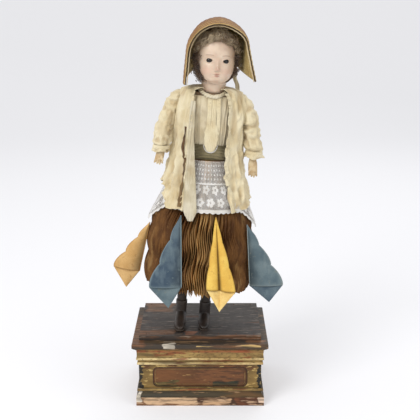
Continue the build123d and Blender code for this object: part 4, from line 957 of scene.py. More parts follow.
@dataclass
class Case:
    """The gilded wooden case, with its applied gilt lines and the painted field in front."""

    half_width: float = 68.0
    front: float = -50.0
    rear: float = 50.0
    field_width: float = 105.0
    field_height: float = 23.5
    field_middle: float = 33.75
    field_corner: float = 5.5
    nail_count: int = 7

    def dress(self, nodes: dict) -> None:
        """Finishes the case's boards and adds its gilt work."""
        coats = {CasePart.TOP: TOP_PAINT, CasePart.CORNICE: CORNICE_PAINT, CasePart.FRIEZE: GILT,
                 CasePart.COVE: COVE_PAINT, CasePart.PANELS: PANEL_PAINT, CasePart.PLINTH: PLINTH_PAINT,
                 CasePart.BACK: CASE_WOOD, CasePart.INSIDE: RAW_WOOD}
        for part, coat in coats.items():
            repaint(nodes, coat, *part.value)
        repaint(nodes, STEEL, "bottom_screws", "lever_pivot_pins")
        self.make_field()
        self.make_lines()
        self.make_nails()

    def run_round(self, name: str, reach: float, profile: Sequence[tuple[float, float]],
                  finish: Finish) -> Thing:
        """A thin strip with the profile (out, up) that runs round the front and sides."""
        corners = [(-1, self.rear), (-1, self.front), (1, self.front), (1, self.rear)]
        along = np.linspace(0, 3, 121)
        rows = []
        for out, up in profile:
            grown = reach + out
            ends = np.array([(side * (self.half_width + grown), y - (grown if y < 0 else 0), up) for side,
                             y in corners])
            rows.append(np.column_stack([np.interp(along, range(4), ends[:, n]) for n in range(3)]))
        grid = np.array(rows)
        wear = crumple(grid, 7.0, 5)[..., None]
        grid[..., :2] *= 1 - 0.0016 * np.maximum(wear, 0)
        return place(skin(name, grid * MM), "base", finish)

    def make_field(self) -> None:
        """The painted field of the front with its dark outline and inner gilt line."""
        half_w, half_h = self.field_width / 2, self.field_height / 2
        quarter = np.repeat(np.arange(0, 360, 90), 7)
        turn = np.radians(quarter + np.tile(np.arange(0, 91, 15), 4))
        middle = np.radians(quarter + 45)
        across = np.sign(np.cos(middle)) * (half_w - self.field_corner)
        up = self.field_middle + np.sign(np.sin(middle)) * (half_h - self.field_corner)
        for name, inset, radius, out, finish in (
                ("field_outline", 0.2, 0.55, 0.15, BONNET_WIRE), ("field_line", 2.6, 0.28, 0.75, GILT)):
            corner = self.field_corner - inset
            path = np.column_stack(
                [across + corner * np.cos(turn), np.full(28, self.front + out), up + corner * np.sin(turn)])
            points, faces = tube(path * MM, radius * MM, 8, closed=True)
            place(mesh_piece(name, points, faces), "base", finish)
        rows = []
        for up in np.linspace(-1, 1, 14):
            row = []
            for across in np.linspace(-1, 1, 60):
                x, z = across * (half_w - 0.6), up * (half_h - 0.6)
                over = max(abs(x) - (half_w - self.field_corner), 0)
                if over and abs(z) > half_h - self.field_corner:
                    limit = half_h - self.field_corner + math.sqrt(
                        max((self.field_corner - 0.6) ** 2 - over**2, 0))
                    z = math.copysign(min(abs(z), limit), z)
                row.append((x, self.front + 0.72, self.field_middle + z))
            rows.append(row)
        grid = np.array(rows)
        grid[..., 1] -= 0.06 * crumple(grid, 5.0, 3)
        place(skin("painted_field", grid * MM), "base", CARTOUCHE_PAINT)

    def make_lines(self) -> None:
        """Gilt and clay lines of the frieze, and the bead over the plinth."""
        for name, reach, out, middle, half, finish in (
                ("bright_bead", 1.35, 0.55, 50.75, 1.45, BRIGHT_GILT), ("second_bead", 2.3, 0.4, 56.6, 1.25,
                    BRIGHT_GILT), ("foot_bead", 2.0, 0.4, 19.0, 1.5, GILT)):
            bead = [(out * math.cos(a), middle + half * math.sin(a)) for a in np.linspace(-1.5, 1.5, 9)]
            self.run_round(name, reach, bead, finish)
        self.run_round("clay_band", 2.0, [(0.12, 64.4), (0.3, 66.0), (0.12, 66.9)], RED_CLAY)

    def make_nails(self) -> None:
        """Small cut nails that hold the top board, their heads just under the paint."""
        recipe = Recipe("top_nails")
        head = recipe.g.add(
            "GeometryNodeMeshCylinder", {"Vertices": recipe.count("Sides", 8),
                "Radius": recipe.size("Head Radius", 0.0007), "Depth": recipe.size("Head Depth", 0.0005)})
        spots = [(x, y) for y in (-40.0, 45.5) for x in np.linspace(-60, 60, self.nail_count)]
        places = np.array([(x + 0.4 * math.sin(7 * x), y, 81.55) for x, y in spots]) * MM
        turns = np.zeros_like(places)
        nails = recipe.instances_at(IRON, head.outputs["Mesh"], places, turns, np.ones(len(places)))
        place(nails, "base", IRON)


# ---- the crank
@dataclass
class Crank:
    """The hand crank at the back and the shaft, pins and rods inside."""

    shaft_x: float = -12.0
    shaft_z: float = 32.0
    throw: float = 20.0
    knob_start: float = 56.5
    knob_length: float = 18.0
    knob_radius: float = 5.9

    def dress(self, nodes: dict) -> None:
        """Finishes the metal and turns the knob."""
        repaint(nodes, IRON, "crank_arm", "crank_bush", "camshaft")
        repaint(nodes, BRASS, "bell_crank")
        repaint(nodes, STEEL, "left_arm_rod", "right_arm_rod", "head_rod", "left_shoulder_axle",
                "right_shoulder_axle", "neck_spindle")
        shape = [(0.0, 0.28), (0.3, 0.62), (0.9, 0.72), (1.6, 0.6), (2.6, 0.56), (3.1, 0.66), (3.6, 0.56),
                 (5.0, 0.62), (8.0, 0.86), (11.5, 1.0), (14.4, 0.94), (16.6, 0.7), (17.6, 0.42),
                 (18.0, 0.3)]
        angles = full_turn(40)
        rows = [[(self.shaft_x + self.knob_radius * r * math.cos(a), self.knob_start + y * self.knob_length
                  / 18, self.shaft_z - self.throw + self.knob_radius * r * math.sin(a)) for a in angles]
                for y, r in shape]
        knob = skin("turned_knob", np.array(rows) * MM, around=True, flip=True)
        soft = knob.modifiers.new("round", "SUBSURF")
        soft.levels = soft.render_levels = 1
        place(settle(knob), "knob", KNOB_WOOD, ["crank_knob"])


# ---- the paper skirt
SKIRT_RINGS = [(52, 62, 61), (85, 60.6, 59.5), (120, 58, 56.5), (144, 48.5, 47), (165, 39.5, 36.5),
               (180, 32.5, 28), (193, 25, 19.5)]


@dataclass
class PaperSkirt:
    """Folded leaves that stand round the waist string like a fan."""

    leaves: int = 150
    rows: int = 44
    across: int = 7
    hem: float = 52.0
    waist: float = 193.0
    lobes: float = 3.0
    scallop: float = 0.055
    seed: int = 7

    def dress(self) -> None:
        """Grows the leaves with a recipe, then sets them on the figure."""
        recipe = Recipe("folded_leaves")
        g = recipe.g
        count = recipe.count("Leaf Count", self.leaves)
        row = g.add("GeometryNodeMeshLine", {"Count": count, "Offset": (0.0, 0.0, 0.0)})
        number = g.add("GeometryNodeInputIndex").outputs[0]
        tagged = g.add(
            "GeometryNodeStoreNamedAttribute", {"Geometry": row.outputs[0], "Name": "leaf",
                "Value": number}, data_type="FLOAT", domain="POINT")
        sheet = g.add(
            "GeometryNodeMeshGrid", {"Size X": 1.0, "Size Y": 1.0,
                "Vertices X": recipe.count("Points Across", self.across),
                "Vertices Y": recipe.count("Points Up", self.rows)})
        many = g.add(
            "GeometryNodeInstanceOnPoints", {"Points": tagged.outputs[0],
                "Instance": sheet.outputs["Mesh"]})
        whole = g.add("GeometryNodeRealizeInstances", {0: many.outputs[0]})
        spot = g.add("ShaderNodeSeparateXYZ", {0: g.add("GeometryNodeInputPosition").outputs[0]})
        leaf = g.add("GeometryNodeInputNamedAttribute", {0: "leaf"}, data_type="FLOAT").outputs[0]
        share = g.plus(spot.outputs[1], 0.5)
        side = spot.outputs[0]
        out = g.minus(1.0, g.times(g.math("ABSOLUTE", side), 2.0))
        pitch = g.math("DIVIDE", math.tau, count)
        chance = g.add("FunctionNodeRandomValue", {"ID": leaf, "Seed": recipe.count("Seed", self.seed)},
                       data_type="FLOAT").outputs[1]
        open_fold = g.times(g.minus(1.0, out), 0.85)
        spread = g.times(g.times(g.math("SIGN", side), open_fold), 0.5)
        wave = g.math("SINE", g.plus(g.times(share, 21.0), g.times(chance, 1.6)))
        sway = g.times(g.times(wave, out), 0.8)
        jitter = g.times(g.minus(chance, 0.5), 0.5)
        place_in_ring = g.plus(g.plus(leaf, jitter), g.plus(spread, sway))
        angle = g.times(place_in_ring, pitch)
        lobe = g.math("ABSOLUTE", g.math("SINE", g.times(share, math.pi * self.lobes * 1.45)))
        dip = g.times(g.minus(1.0, lobe), recipe.size("Scallop", self.scallop))
        reach = g.minus(g.minus(1.0, dip), g.times(chance, 0.02))
        inner = g.plus(0.75, g.times(g.between(share, 0.82, 1.0), 0.15))
        radial = g.plus(inner, g.times(out, g.minus(reach, inner)))
        drop = g.times(g.minus(chance, 0.5), g.times(g.minus(1.0, share), 0.02))
        up = g.plus(share, drop)
        moved = g.add(
            "ShaderNodeCombineXYZ", {0: g.times(radial, g.math("COSINE", angle)), 1: g.times(radial,
                g.math("SINE", angle)), 2: up})
        bent = g.add(
            "GeometryNodeSetPosition", {"Geometry": whole.outputs[0], "Position": moved.outputs[0]})
        bright = g.times(g.between(out, 0.35, 1.0), g.plus(0.35, g.times(chance, 0.65)))
        kept = g.add(
            "GeometryNodeStoreNamedAttribute", {"Geometry": bent.outputs[0], "Name": "edge",
                "Value": bright}, data_type="FLOAT", domain="POINT")
        skirt = recipe.run(kept.outputs[0], LEAF_EDGES)
        skirt.name = "folded_leaves"
        points = np.empty(len(skirt.data.vertices) * 3)
        skirt.data.vertices.foreach_get("co", points)
        points = points.reshape(-1, 3)
        height = self.hem + np.clip(points[:, 2], 0.0, 1.0) * (self.waist - self.hem)
        half = by_height(SKIRT_RINGS, height)
        grown = np.stack(
            [points[:, 0] * half[:, 0], points[:, 1] * half[:, 1], self.hem + points[:, 2]
                * (self.waist - self.hem)], -1)
        skirt.data.vertices.foreach_set("co", STANCE.stand(grown).ravel())
        skirt.data.update()
        place(skirt, "base", LEAF_EDGES, ["paper_skirt"])
        heights = np.linspace(self.hem + 2, self.waist - 3, 24)
        rows = [
            oval(full_turn(72), (0, 0), w, d, z) for z, (w, d) in zip(heights, by_height(SKIRT_RINGS,
                heights) * 0.74)]
        cover("skirt_core", rows, "base", LEAF_EDGES, "leaf_paper", wall=0.4, offset=-1.0, around=True)


# ---- the big leaves
@dataclass(frozen=True)
class Page:
    """One page of an opened leaf: its corners in the figure's millimetres."""

    top: Triple
    spine: Triple
    corner: Triple
    tip: Triple
    lobe: float = 3.7


def facing(first: Points, second: Points) -> Points:
    """The unit direction square to two others that looks to the front."""
    normal = np.cross(first, second)
    normal /= np.linalg.norm(normal)
    return -normal if normal[1] > 0 else normal


@dataclass
class OpenLeaf:
    """A leaf of the skirt that hangs opened: its pages, folded tip and the sheets behind."""

    node: str
    body: str
    slot: str
    finish: Finish
    tip_finish: Finish
    pages: Sequence[Page]
    sheets: int = 2
    curl: float = 2.6
    # fold_width and fold_shade: how far from the spine, and how strongly, painted shade darkens a page
    fold_width: float = 0.45
    fold_shade: float = 0.55
    edge_shade: float = 0.75

    def page_rows(self, page: Page, behind: float) -> Points:
        """Points of a page from its spine to its lobed edge."""
        top, spine, corner = (np.array(p) for p in (page.top, page.spine, page.corner))
        normal = facing(spine - top, corner - top)
        rows = []
        for down in np.linspace(0.0, 1.0, 46):
            lobe = page.lobe * abs(math.sin(3 * math.pi * down)) ** 0.7 * (0.45 + 0.55 * down)
            start = top + down * (spine - top)
            end = top + down * (corner - top)
            end = end + lobe * (end - start) / max(np.linalg.norm(end - start), 6.0)
            row = []
            for across in np.linspace(0.0, 1.0, 16):
                bow = self.curl * math.sin(math.pi * across) * (0.25 + down)
                dent = 0.5 * math.sin(9 * down + 5 * across) * across
                row.append(start + across * (end - start) + normal * (bow + dent - behind * (0.3 + across)))
            rows.append(row)
        return np.array(rows)

    def tip_rows(self, page: Page) -> Points:
        """Points of the folded tip, which turns up in front of the page."""
        spine, corner, tip = (np.array(p) for p in (page.spine, page.corner, page.tip))
        normal = facing(tip - spine, corner - spine)
        rows = []
        for down in np.linspace(0.0, 1.0, 18):
            start, end = spine + down * (tip - spine), corner + down * (tip - corner)
            rows.append(
                [start + a * (end - start) + normal * (0.5 + 1.1 * math.sin(math.pi * a) * math.sin(math.pi
                    * down)) for a in np.linspace(0.0, 1.0, 14)])
        return np.array(rows)

    def dress(self) -> None:
        """Makes the pages, tip and crease, one piece for each."""
        for number, page in enumerate(self.pages):
            for sheet in range(self.sheets):
                rows = self.page_rows(page, 0.75 * sheet)
                count, columns = rows.shape[:2]
                across = np.tile(np.linspace(0, 1, columns), (count, 1))
                down = np.tile(np.linspace(0, 1, count)[:, None], (1, columns))
                edge = np.maximum(
                    self.edge_shade * smooth_step(across, 0.93, 1.0), 0.6 * smooth_step(down, 0.97, 1.0))
                # painted shade along the fold by the spine
                fold = self.fold_shade * (1 - smooth_step(across, 0.0, self.fold_width))
                cover(f"{self.node}_page_{number}_{sheet}", rows, self.body, self.finish, self.slot,
                      () if number or sheet else [self.node], wall=0.22, marks={"edge": edge, "fold": fold})
            tip = self.tip_rows(page)
            cover(f"{self.node}_tip_{number}", tip, self.body, self.tip_finish, self.slot, wall=0.25,
                  marks={"edge": np.zeros(tip.shape[:2])})
        top, spine = np.array(self.pages[0].top), np.array(self.pages[0].spine)
        path = np.array([top + s * (spine - top) for s in np.linspace(0, 1, 12)])
        crease = cord(f"{self.node}_crease", path, 0.55, 8, self.body, self.finish)
        mark(crease, "edge", np.ones(len(crease.data.vertices)))


OPEN_LEAVES = (
    OpenLeaf("buff_leaf", "buff_page", "buff_paper", BUFF_PAPER, BUFF_PAPER,
        (Page((-57.15, -10, 117.5), (-65.4, -10.5, 60), (-94, -13, 64), (-79, -13.5, 41)),)),
    OpenLeaf("left_blue_leaf", "left_blue_page", "blue_paper", BLUE_PAPER, SLATE_PAPER,
        (Page((-23, -51, 139.5), (-17, -59.8, 63), (-50.5, -63, 61), (-29, -66, 41)),)),
    OpenLeaf("yellow_leaf", "yellow_page", "yellow_paper", YELLOW_PAPER, PALE_PAPER,
        (Page((13.6, -52.8, 141), (23.5, -61, 63), (10, -66, 64), (25, -69, 42), 1.4),
        Page((13.6, -52.8, 141), (23.5, -61, 63), (40.5, -64, 63), (25, -69, 42), 1.4)), fold_width=0.26,
        fold_shade=0.95, edge_shade=0.2), OpenLeaf("right_blue_leaf", "right_blue_page", "grey_blue_paper",
        SLATE_PAPER, BLUE_PAPER, (Page((48.5, -31.5, 129), (57.6, -32, 60), (93, -36, 65),
        (80, -38, 45)),)),)


# ---- lace
@dataclass
class LaceOverskirt:
    """White lace over the skirt: net above, flowers below and a scalloped hem."""

    columns: int = 300
    rows: int = 66
    waist: float = 193.0
    hem_front: float = 144.0
    hem_side: float = 121.0
    hem_radius: float = 57.0
    edging: float = 4.0
    flower: float = 13.5
    scallop: float = 6.75
    seed: int = 3

    def hem(self, angles: Points) -> Points:
        """Height of the hem at each angle: short in front, longer at the sides and back."""
        front = np.cos(angles + math.pi / 2)
        return self.hem_side + (self.hem_front - self.hem_side) * smooth_step(front, 0.05, 0.7)

    def openness(self, around: Points, above: Points) -> Points:
        """How much of each small cell is a hole, from 0 to 1.

        Args:
            around: Millimetres round the hem.
            above: Millimetres above the hem.

        Returns:
            The share of each cell's side that is open.
        """
        hole = np.full(around.shape, 0.74)
        above_edging = above - self.edging
        row = np.floor(above_edging / self.flower)
        shifted = around + np.where(row % 2 == 1, self.flower / 2, 0.0)
        x = (shifted % self.flower) - self.flower / 2
        y = (above_edging % self.flower) - self.flower / 2
        far, turn = np.hypot(x, y), np.arctan2(y, x)
        petals = (far < 5.4 * (0.62 + 0.38 * np.abs(np.cos(2.5 * turn)))) & (far > 1.3)
        low = above < self.edging + 2 * self.flower
        hole = np.where(low & petals, 0.0, hole)
        hole = np.where((above < 2.6) | (np.abs(above_edging - 2 * self.flower) < 0.8), 0.0, hole)
        spot = (np.hypot((around % 5.4) - 2.7, (above % 4.8) - 2.4) < 1.0) & ~low
        return np.where(spot, 0.0, hole)

    def dress(self) -> None:
        """Builds the net with its holes and hangs it on the skirt."""
        angles = full_turn(self.columns)
        hem = self.hem(angles)
        rows, around, above = [], [], []
        for up in np.linspace(0.0, 1.0, self.rows) ** 0.94:
            z = hem + up * (self.waist - hem)
            half = by_height(SKIRT_RINGS, z)
            fold = ripple(angles / math.tau, np.full_like(angles, up), self.seed, 19)
            grow = 1.5 + (1 - up) * (0.9 + 1.0 * fold)
            xy = np.stack([np.cos(angles) * (half[:, 0] + grow), np.sin(angles) * (half[:, 1] + grow)], -1)
            if up == 0:
                z = z - 1.5 * np.abs(np.sin(math.pi * angles * self.hem_radius / self.scallop))
            rows.append(np.column_stack([xy, z]))
            around.append(angles * self.hem_radius)
            above.append((z - hem) * 1.12)
        grid = np.array(rows)
        around, above = np.array(around), np.array(above)
        hole = self.openness((around[:-1] + around[1:]) / 2, (above[:-1] + above[1:]) / 2)
        points = STANCE.stand(grid).reshape(-1, 3)
        places = np.stack([around, above], -1).reshape(-1, 2) / 10
        cells, share = np.array(grid_faces(self.rows, self.columns, True)), hole.ravel()
        pierced, share = cells[share >= 0.05], share[share >= 0.05, None, None]
        middle = points[pierced].mean(1, keepdims=True)
        inner = middle + share * (points[pierced] - middle)
        new = len(points) + np.arange(pierced.size).reshape(-1, 4)
        rims = np.stack([pierced, np.roll(pierced, -1, 1), np.roll(new, -1, 1), new], -1)
        faces = cells[hole.ravel() < 0.05].tolist() + rims.reshape(-1, 4).tolist()
        lace = mesh_piece("lace", np.vstack([points, inner.reshape(-1, 3)]), faces,
                          np.vstack([places, places[pierced].reshape(-1, 2)]))
        place(lace, "base", LACE_WHITE, ["lace_overskirt"])


# ---- clothes on the body
TORSO_RINGS = [(126, 24, 15), (195, 20, 14), (240, 22, 14), (250, 23, 13.5), (260, 23, 10.5)]


@dataclass
class Blouse:
    """Cotton blouse: fine tucks, two eyelet bands and a lace-edged tongue in front."""

    low: float = 209.5
    high: float = 261.0
    rows: int = 46
    columns: int = 220
    band_places: tuple[float, float] = (-2.2, 8.4)
    eyelet_step: float = 3.2

    def surface(self, x: Points, z: Points, proud: float) -> Points:
        """Points on the front of the blouse over x and z."""
        half = by_height(TORSO_RINGS, z)
        w, d = half[:, 0] + 1.9, half[:, 1] + 1.9 + proud
        share = np.clip(np.abs(x) / w, 0, 0.999)
        return np.column_stack([x, -d * (1 - share**3.0) ** (1 / 3.0), z])

    def dress(self) -> None:
        """Makes the blouse, its bands, eyelets and tongue."""
        angles = full_turn(self.columns)
        rows = []
        for z in np.linspace(self.low, self.high, self.rows):
            half = by_height(TORSO_RINGS, np.array([z]))[0]
            up = (z - self.low) / (self.high - self.low)
            fold = ripple(angles / math.tau, np.full_like(angles, up), 11, 40)
            grow = 1.4 + 0.7 * fold + 0.9 * math.sin(math.pi * min(1.0, up * 1.6)) ** 2
            xy = ring(half[0] + grow, half[1] + grow, angles, 3.0)
            rows.append(np.column_stack([xy, np.full_like(angles, z)]))
        blouse = cover("tucked_blouse", rows, "base", BLOUSE, "blouse_cotton", ["blouse"], around=True)
        spots = []
        for number, middle in enumerate(self.band_places):
            z = np.linspace(self.low + 1, self.high - 1, 60)
            lean = middle + 0.9 * np.sin(z / 17 + number)
            strip = [self.surface(lean + off, z, 0.9 + (0.25 if abs(off) < 1.7 else 0.0))
                     for off in np.linspace(-2.1, 2.1, 9)]
            cover(f"eyelet_band_{number}", np.stack(strip, 1), "base", COTTON, "blouse_cotton", wall=0.35)
            z = np.arange(self.low + 3, self.high - 2, self.eyelet_step)
            x = middle + 0.9 * np.sin(z / 17 + number) + np.where(np.arange(len(z)) % 2, 0.5, -0.5)
            spots.append(self.surface(x, z, 1.35))
        self.make_eyelets(np.vstack(spots))
        self.make_tongue()

    def make_eyelets(self, spots: Points) -> None:
        """Stitched rims round small dark discs of painted shade that stand for the holes."""
        rims, holes = Recipe("eyelets"), Recipe("eyelet_holes")
        circle = rims.g.add(
            "GeometryNodeCurvePrimitiveCircle", {"Resolution": rims.count("Stitches", 12),
                "Radius": rims.size("Eyelet Radius", 0.00075)})
        thread = rims.g.add(
            "GeometryNodeCurvePrimitiveCircle", {"Resolution": 5, "Radius": rims.size("Thread Radius",
                0.00026)})
        rim = rims.g.add("GeometryNodeCurveToMesh", {0: circle.outputs[0], 1: thread.outputs[0]})
        # each hole is a disc of painted shade, set just behind its rim
        hole = holes.g.add(
            "GeometryNodeMeshCircle", {"Vertices": holes.count("Sides", 8),
                "Radius": holes.size("Hole Radius", 0.00068)}, fill_type="NGON")
        turns = np.tile([math.pi / 2, 0.0, 0.0], (len(spots), 1))
        for recipe, item, finish, behind in ((rims, rim, COTTON, 0), (holes, hole, EYELET_SHADE, 0.1)):
            made = recipe.instances_at(
                finish, item.outputs[0], STANCE.stand(spots + [0, behind, 0]), turns, np.ones(len(spots)))
            place(made, "base", finish)

    def make_tongue(self) -> None:
        """The rounded tongue with its lace edge, over the sash."""
        rows = []
        for down in np.linspace(0.0, 1.0, 72):
            z = 262.0 - 59.5 * down
            spread = 1.0 - float(smooth_step(np.array(z), 224.0, 234.0))
            wide = (3.6 + 4.0 * spread) * math.sqrt(max(1 - down**10, 0.02))
            frill = 1.0 + 0.05 * math.sin(60 * down)
            x = 2.6 + wide * frill * np.linspace(-1, 1, 24)
            proud = 0.5 + 2.1 * spread
            line = self.surface(x, np.full_like(x, z), proud + 0.35 * np.sin(3.2 * x))
            rows.append(line)
        cover("blouse_tongue", rows, "base", COTTON, "blouse_cotton", wall=0.4, flip=True)
        angles = np.linspace(math.pi, math.tau, 60)
        edge = np.column_stack([2.6 + 7.3 * np.cos(angles), np.zeros(60), 210.0 + 8.0 * np.sin(angles)])
        edge[:, 1] = self.surface(edge[:, 0], np.maximum(edge[:, 2], 202.0), 2.8)[:, 1]
        edge[:, 2] += 0.7 * np.sin(angles * 44)
        cord("tongue_edge", edge, 0.36, 6, "base", LACE_WHITE)


@dataclass
class NeckTrim:
    """Two strands of cream tape twisted round the neck, low in front."""

    middle_x: float = 1.0
    height: float = 266.4
    radius: float = 14.6
    strand: float = 1.5
    twists: int = 15

    def dress(self) -> None:
        """Makes the two strands."""
        angles = full_turn(300)
        parts = []
        for phase in (0.0, math.pi):
            turn = self.twists * angles + phase
            dip = -5.4 * np.maximum(0, np.cos(angles + math.pi / 2)) ** 2
            out = self.radius + 0.85 * np.cos(turn)
            path = np.column_stack([self.middle_x + out * np.cos(angles), out * np.sin(angles), self.height
                                    + 0.85 * np.sin(turn) + dip])
            parts.append(tube(STANCE.stand(path), self.strand * MM * (1 + 0.12 * np.sin(9 * angles)), 9,
                              closed=True))
        place(joined("twisted_neck_trim", parts), "base", RIBBON, ["neck_trim"])


@dataclass
class Sash:
    """Loosely wound sash, its wrinkles running round the waist."""

    low: float = 193.5
    high: float = 209.4

    def dress(self) -> None:
        """Makes the sash."""
        angles = full_turn(180)
        rows = []
        for z in np.linspace(self.low, self.high, 40):
            half = by_height(TORSO_RINGS, np.array([z]))[0]
            up = (z - self.low) / (self.high - self.low)
            lines = 0.55 * np.sin(
                math.tau * (4.5 * up + 0.35 * np.sin(2 * angles + 1) + 0.15 * np.sin(5 * angles)))
            grow = 2.3 + lines + 0.7 * math.sin(math.pi * up)
            rows.append(np.column_stack([ring(half[0] + grow, half[1] + grow, angles, 3.0),
                                         np.full_like(angles, z)]))
        sash = cover("sash", rows, "base", SASH_MESH, "sash_mesh", ["waist_sash"], around=True)


JACKET_RINGS = [
    (145, 53.6, 52.6), (155, 49.6, 48.2), (165, 45.6, 43.2), (180, 41.5, 35), (200, 38.2, 26.5),
    (220, 37, 22.9), (240, 36.6, 20.6), (255, 36, 19), (262, 34, 18.6), (267.5, 29.5, 18.6),
    (270, 22, 18.6)]


@dataclass
class Jacket:
    """Short open cotton jacket, its fronts falling in deep folds to a ragged hem."""

    right_edge: float = -57.0
    left_edge: float = 235.0
    left_swing: float = 11.5
    hem: float = 145.0
    left_rise: float = 19.0
    right_rise: float = 5.0
    top: float = 270.0
    rows: int = 112
    columns: int = 360
    folds: float = 12.0
    seed: int = 21

    def point(self, share: Points, up: Points, proud: float = 0.0) -> Points:
        """Points of the cloth.

        Args:
            share: Place from the right front edge, 0, round the back to the left one, 1.
            up: Height from the hem, 0, to the neck, 1.
            proud: Millimetres that the point stands off the cloth.

        Returns:
            Points in the figure's millimetres.
        """
        left = self.left_edge + self.left_swing * (1 - smooth_step(up, 0.0, 0.5))
        turn = self.right_edge + share * (left - self.right_edge)
        angles = np.radians(turn)
        ragged = 2.6 * ripple(share, np.zeros_like(share), self.seed + 4, 9)
        front = np.maximum(1 - share / 0.12, 1 - (1 - share) / 0.16).clip(0, 1)
        low = (self.hem + self.left_rise * hill(turn, 184, 30) - ragged - 3.0 * front + self.right_rise
               * hill(turn, 0, 40) + 3.0 * hill(turn, 90, 45))
        z = low + up * (self.top - low)
        half = by_height(JACKET_RINGS, np.maximum(z, self.hem))
        deep = 0.5 + 3.0 * (1 - up) ** 0.8
        wave = ripple(share, up, self.seed, self.folds)
        fine = ripple(share, up, self.seed + 9, 36)
        fold = deep * (wave - 0.1) + 0.4 * fine
        hang = 0.9 * np.sin(math.pi * np.clip((up - 0.55) / 0.4, 0, 1))
        grow = fold + hang + proud - 0.2
        found = np.stack(
            [np.cos(angles) * (half[:, 0] + grow), np.sin(angles) * (half[:, 1] + grow), z], -1)
        away = found * [1, 1, 0]
        away /= np.maximum(np.linalg.norm(away, axis=-1, keepdims=True), 1e-6)
        dent = (
            2.1 * creases(found, (8.5, 8.5, 44.0), 3) * (1.1 - 0.6 * up) + 0.8 * creases(found,
                (5.0, 5.0, 11.0), 5) + 0.8 * crumple(found, 13.0, 2))
        return found + away * dent[..., None]

    def dress(self) -> None:
        """Makes the cloth, the frills down both fronts and the braid of the left one."""
        share = np.linspace(0, 1, self.columns)
        rows = [self.point(share, np.full(self.columns, up)) for up in np.linspace(0, 1, self.rows)]
        for shrink, drop in ((0.9, 0.0), (0.8, 0.7), (0.7, 1.6)):
            rows.append(rows[self.rows - 1] * [shrink, 0.1 + 0.9 * shrink, 1] - [0, 0, drop])
        grid = np.array(rows)
        # painted shade in the jacket's creases, stored as crease; its inside is the cotton in painted shade
        dark = 0.75 * smooth_step(-creases(grid, (8.5, 8.5, 44.0), 3), -0.2, 1.8)
        jacket = cover("open_jacket", grid, "base", [COTTON, COTTON_IN_SHADE], "cotton_cream", ["jacket"],
                       wall=0.6, offset=-1.0, marks={"crease": dark})
        for name, edge, seed in (("right_frill", 0.0, 5), ("left_frill", 1.0, 8)):
            self.make_frill(name, edge, seed)
        self.make_braid()
        self.make_hem_roll()

    def make_frill(self, name: str, edge: float, seed: int) -> None:
        """A narrow gathered frill down a front edge."""
        inward = 1 if edge == 0.0 else -1
        up = np.linspace(0.22, 0.97, 150)
        lines = []
        for out in np.linspace(0.0, 1.0, 9):
            wave = np.sin(up * 150 + 1.4 * np.sin(up * 23 + seed)) * 1.5 * out
            base = self.point(np.full_like(up, edge + inward * 0.006), up, 0.4)
            side = np.stack([-inward * np.ones_like(up), -0.55 * np.ones_like(up), np.zeros_like(up)], -1)
            base = base + side * (4.2 * out) * (0.7 + 0.3 * np.sin(up * 9 + seed))[:, None]
            base[:, 1] -= wave + 0.6 * out
            base[:, 2] += 0.8 * np.cos(up * 75) * out
            lines.append(base)
        cover(name, np.stack(lines, 1), "base", COTTON, "cotton_cream", wall=0.3, flip=edge == 1.0)

    def make_braid(self) -> None:
        """The narrow dark braid that trims the left front."""
        up = np.linspace(0.02, 0.66, 90)
        strip = [
            self.point(np.full_like(up, 0.982 + off), up, 0.9) for off in np.linspace(-0.0065, 0.0065, 6)]
        cover("front_braid", np.stack(strip, 1), "base", DARK_BRAID, "cotton_cream", wall=0.3)

    def make_hem_roll(self) -> None:
        """The rolled hem of the jacket."""
        share = np.linspace(0, 1, 260)
        path = self.point(share, np.full_like(share, 0.004))
        cord("hem_roll", path, 0.62, 6, "base", COTTON)


# ---- sleeves and hands
Station = tuple[float, float, float, float, float]


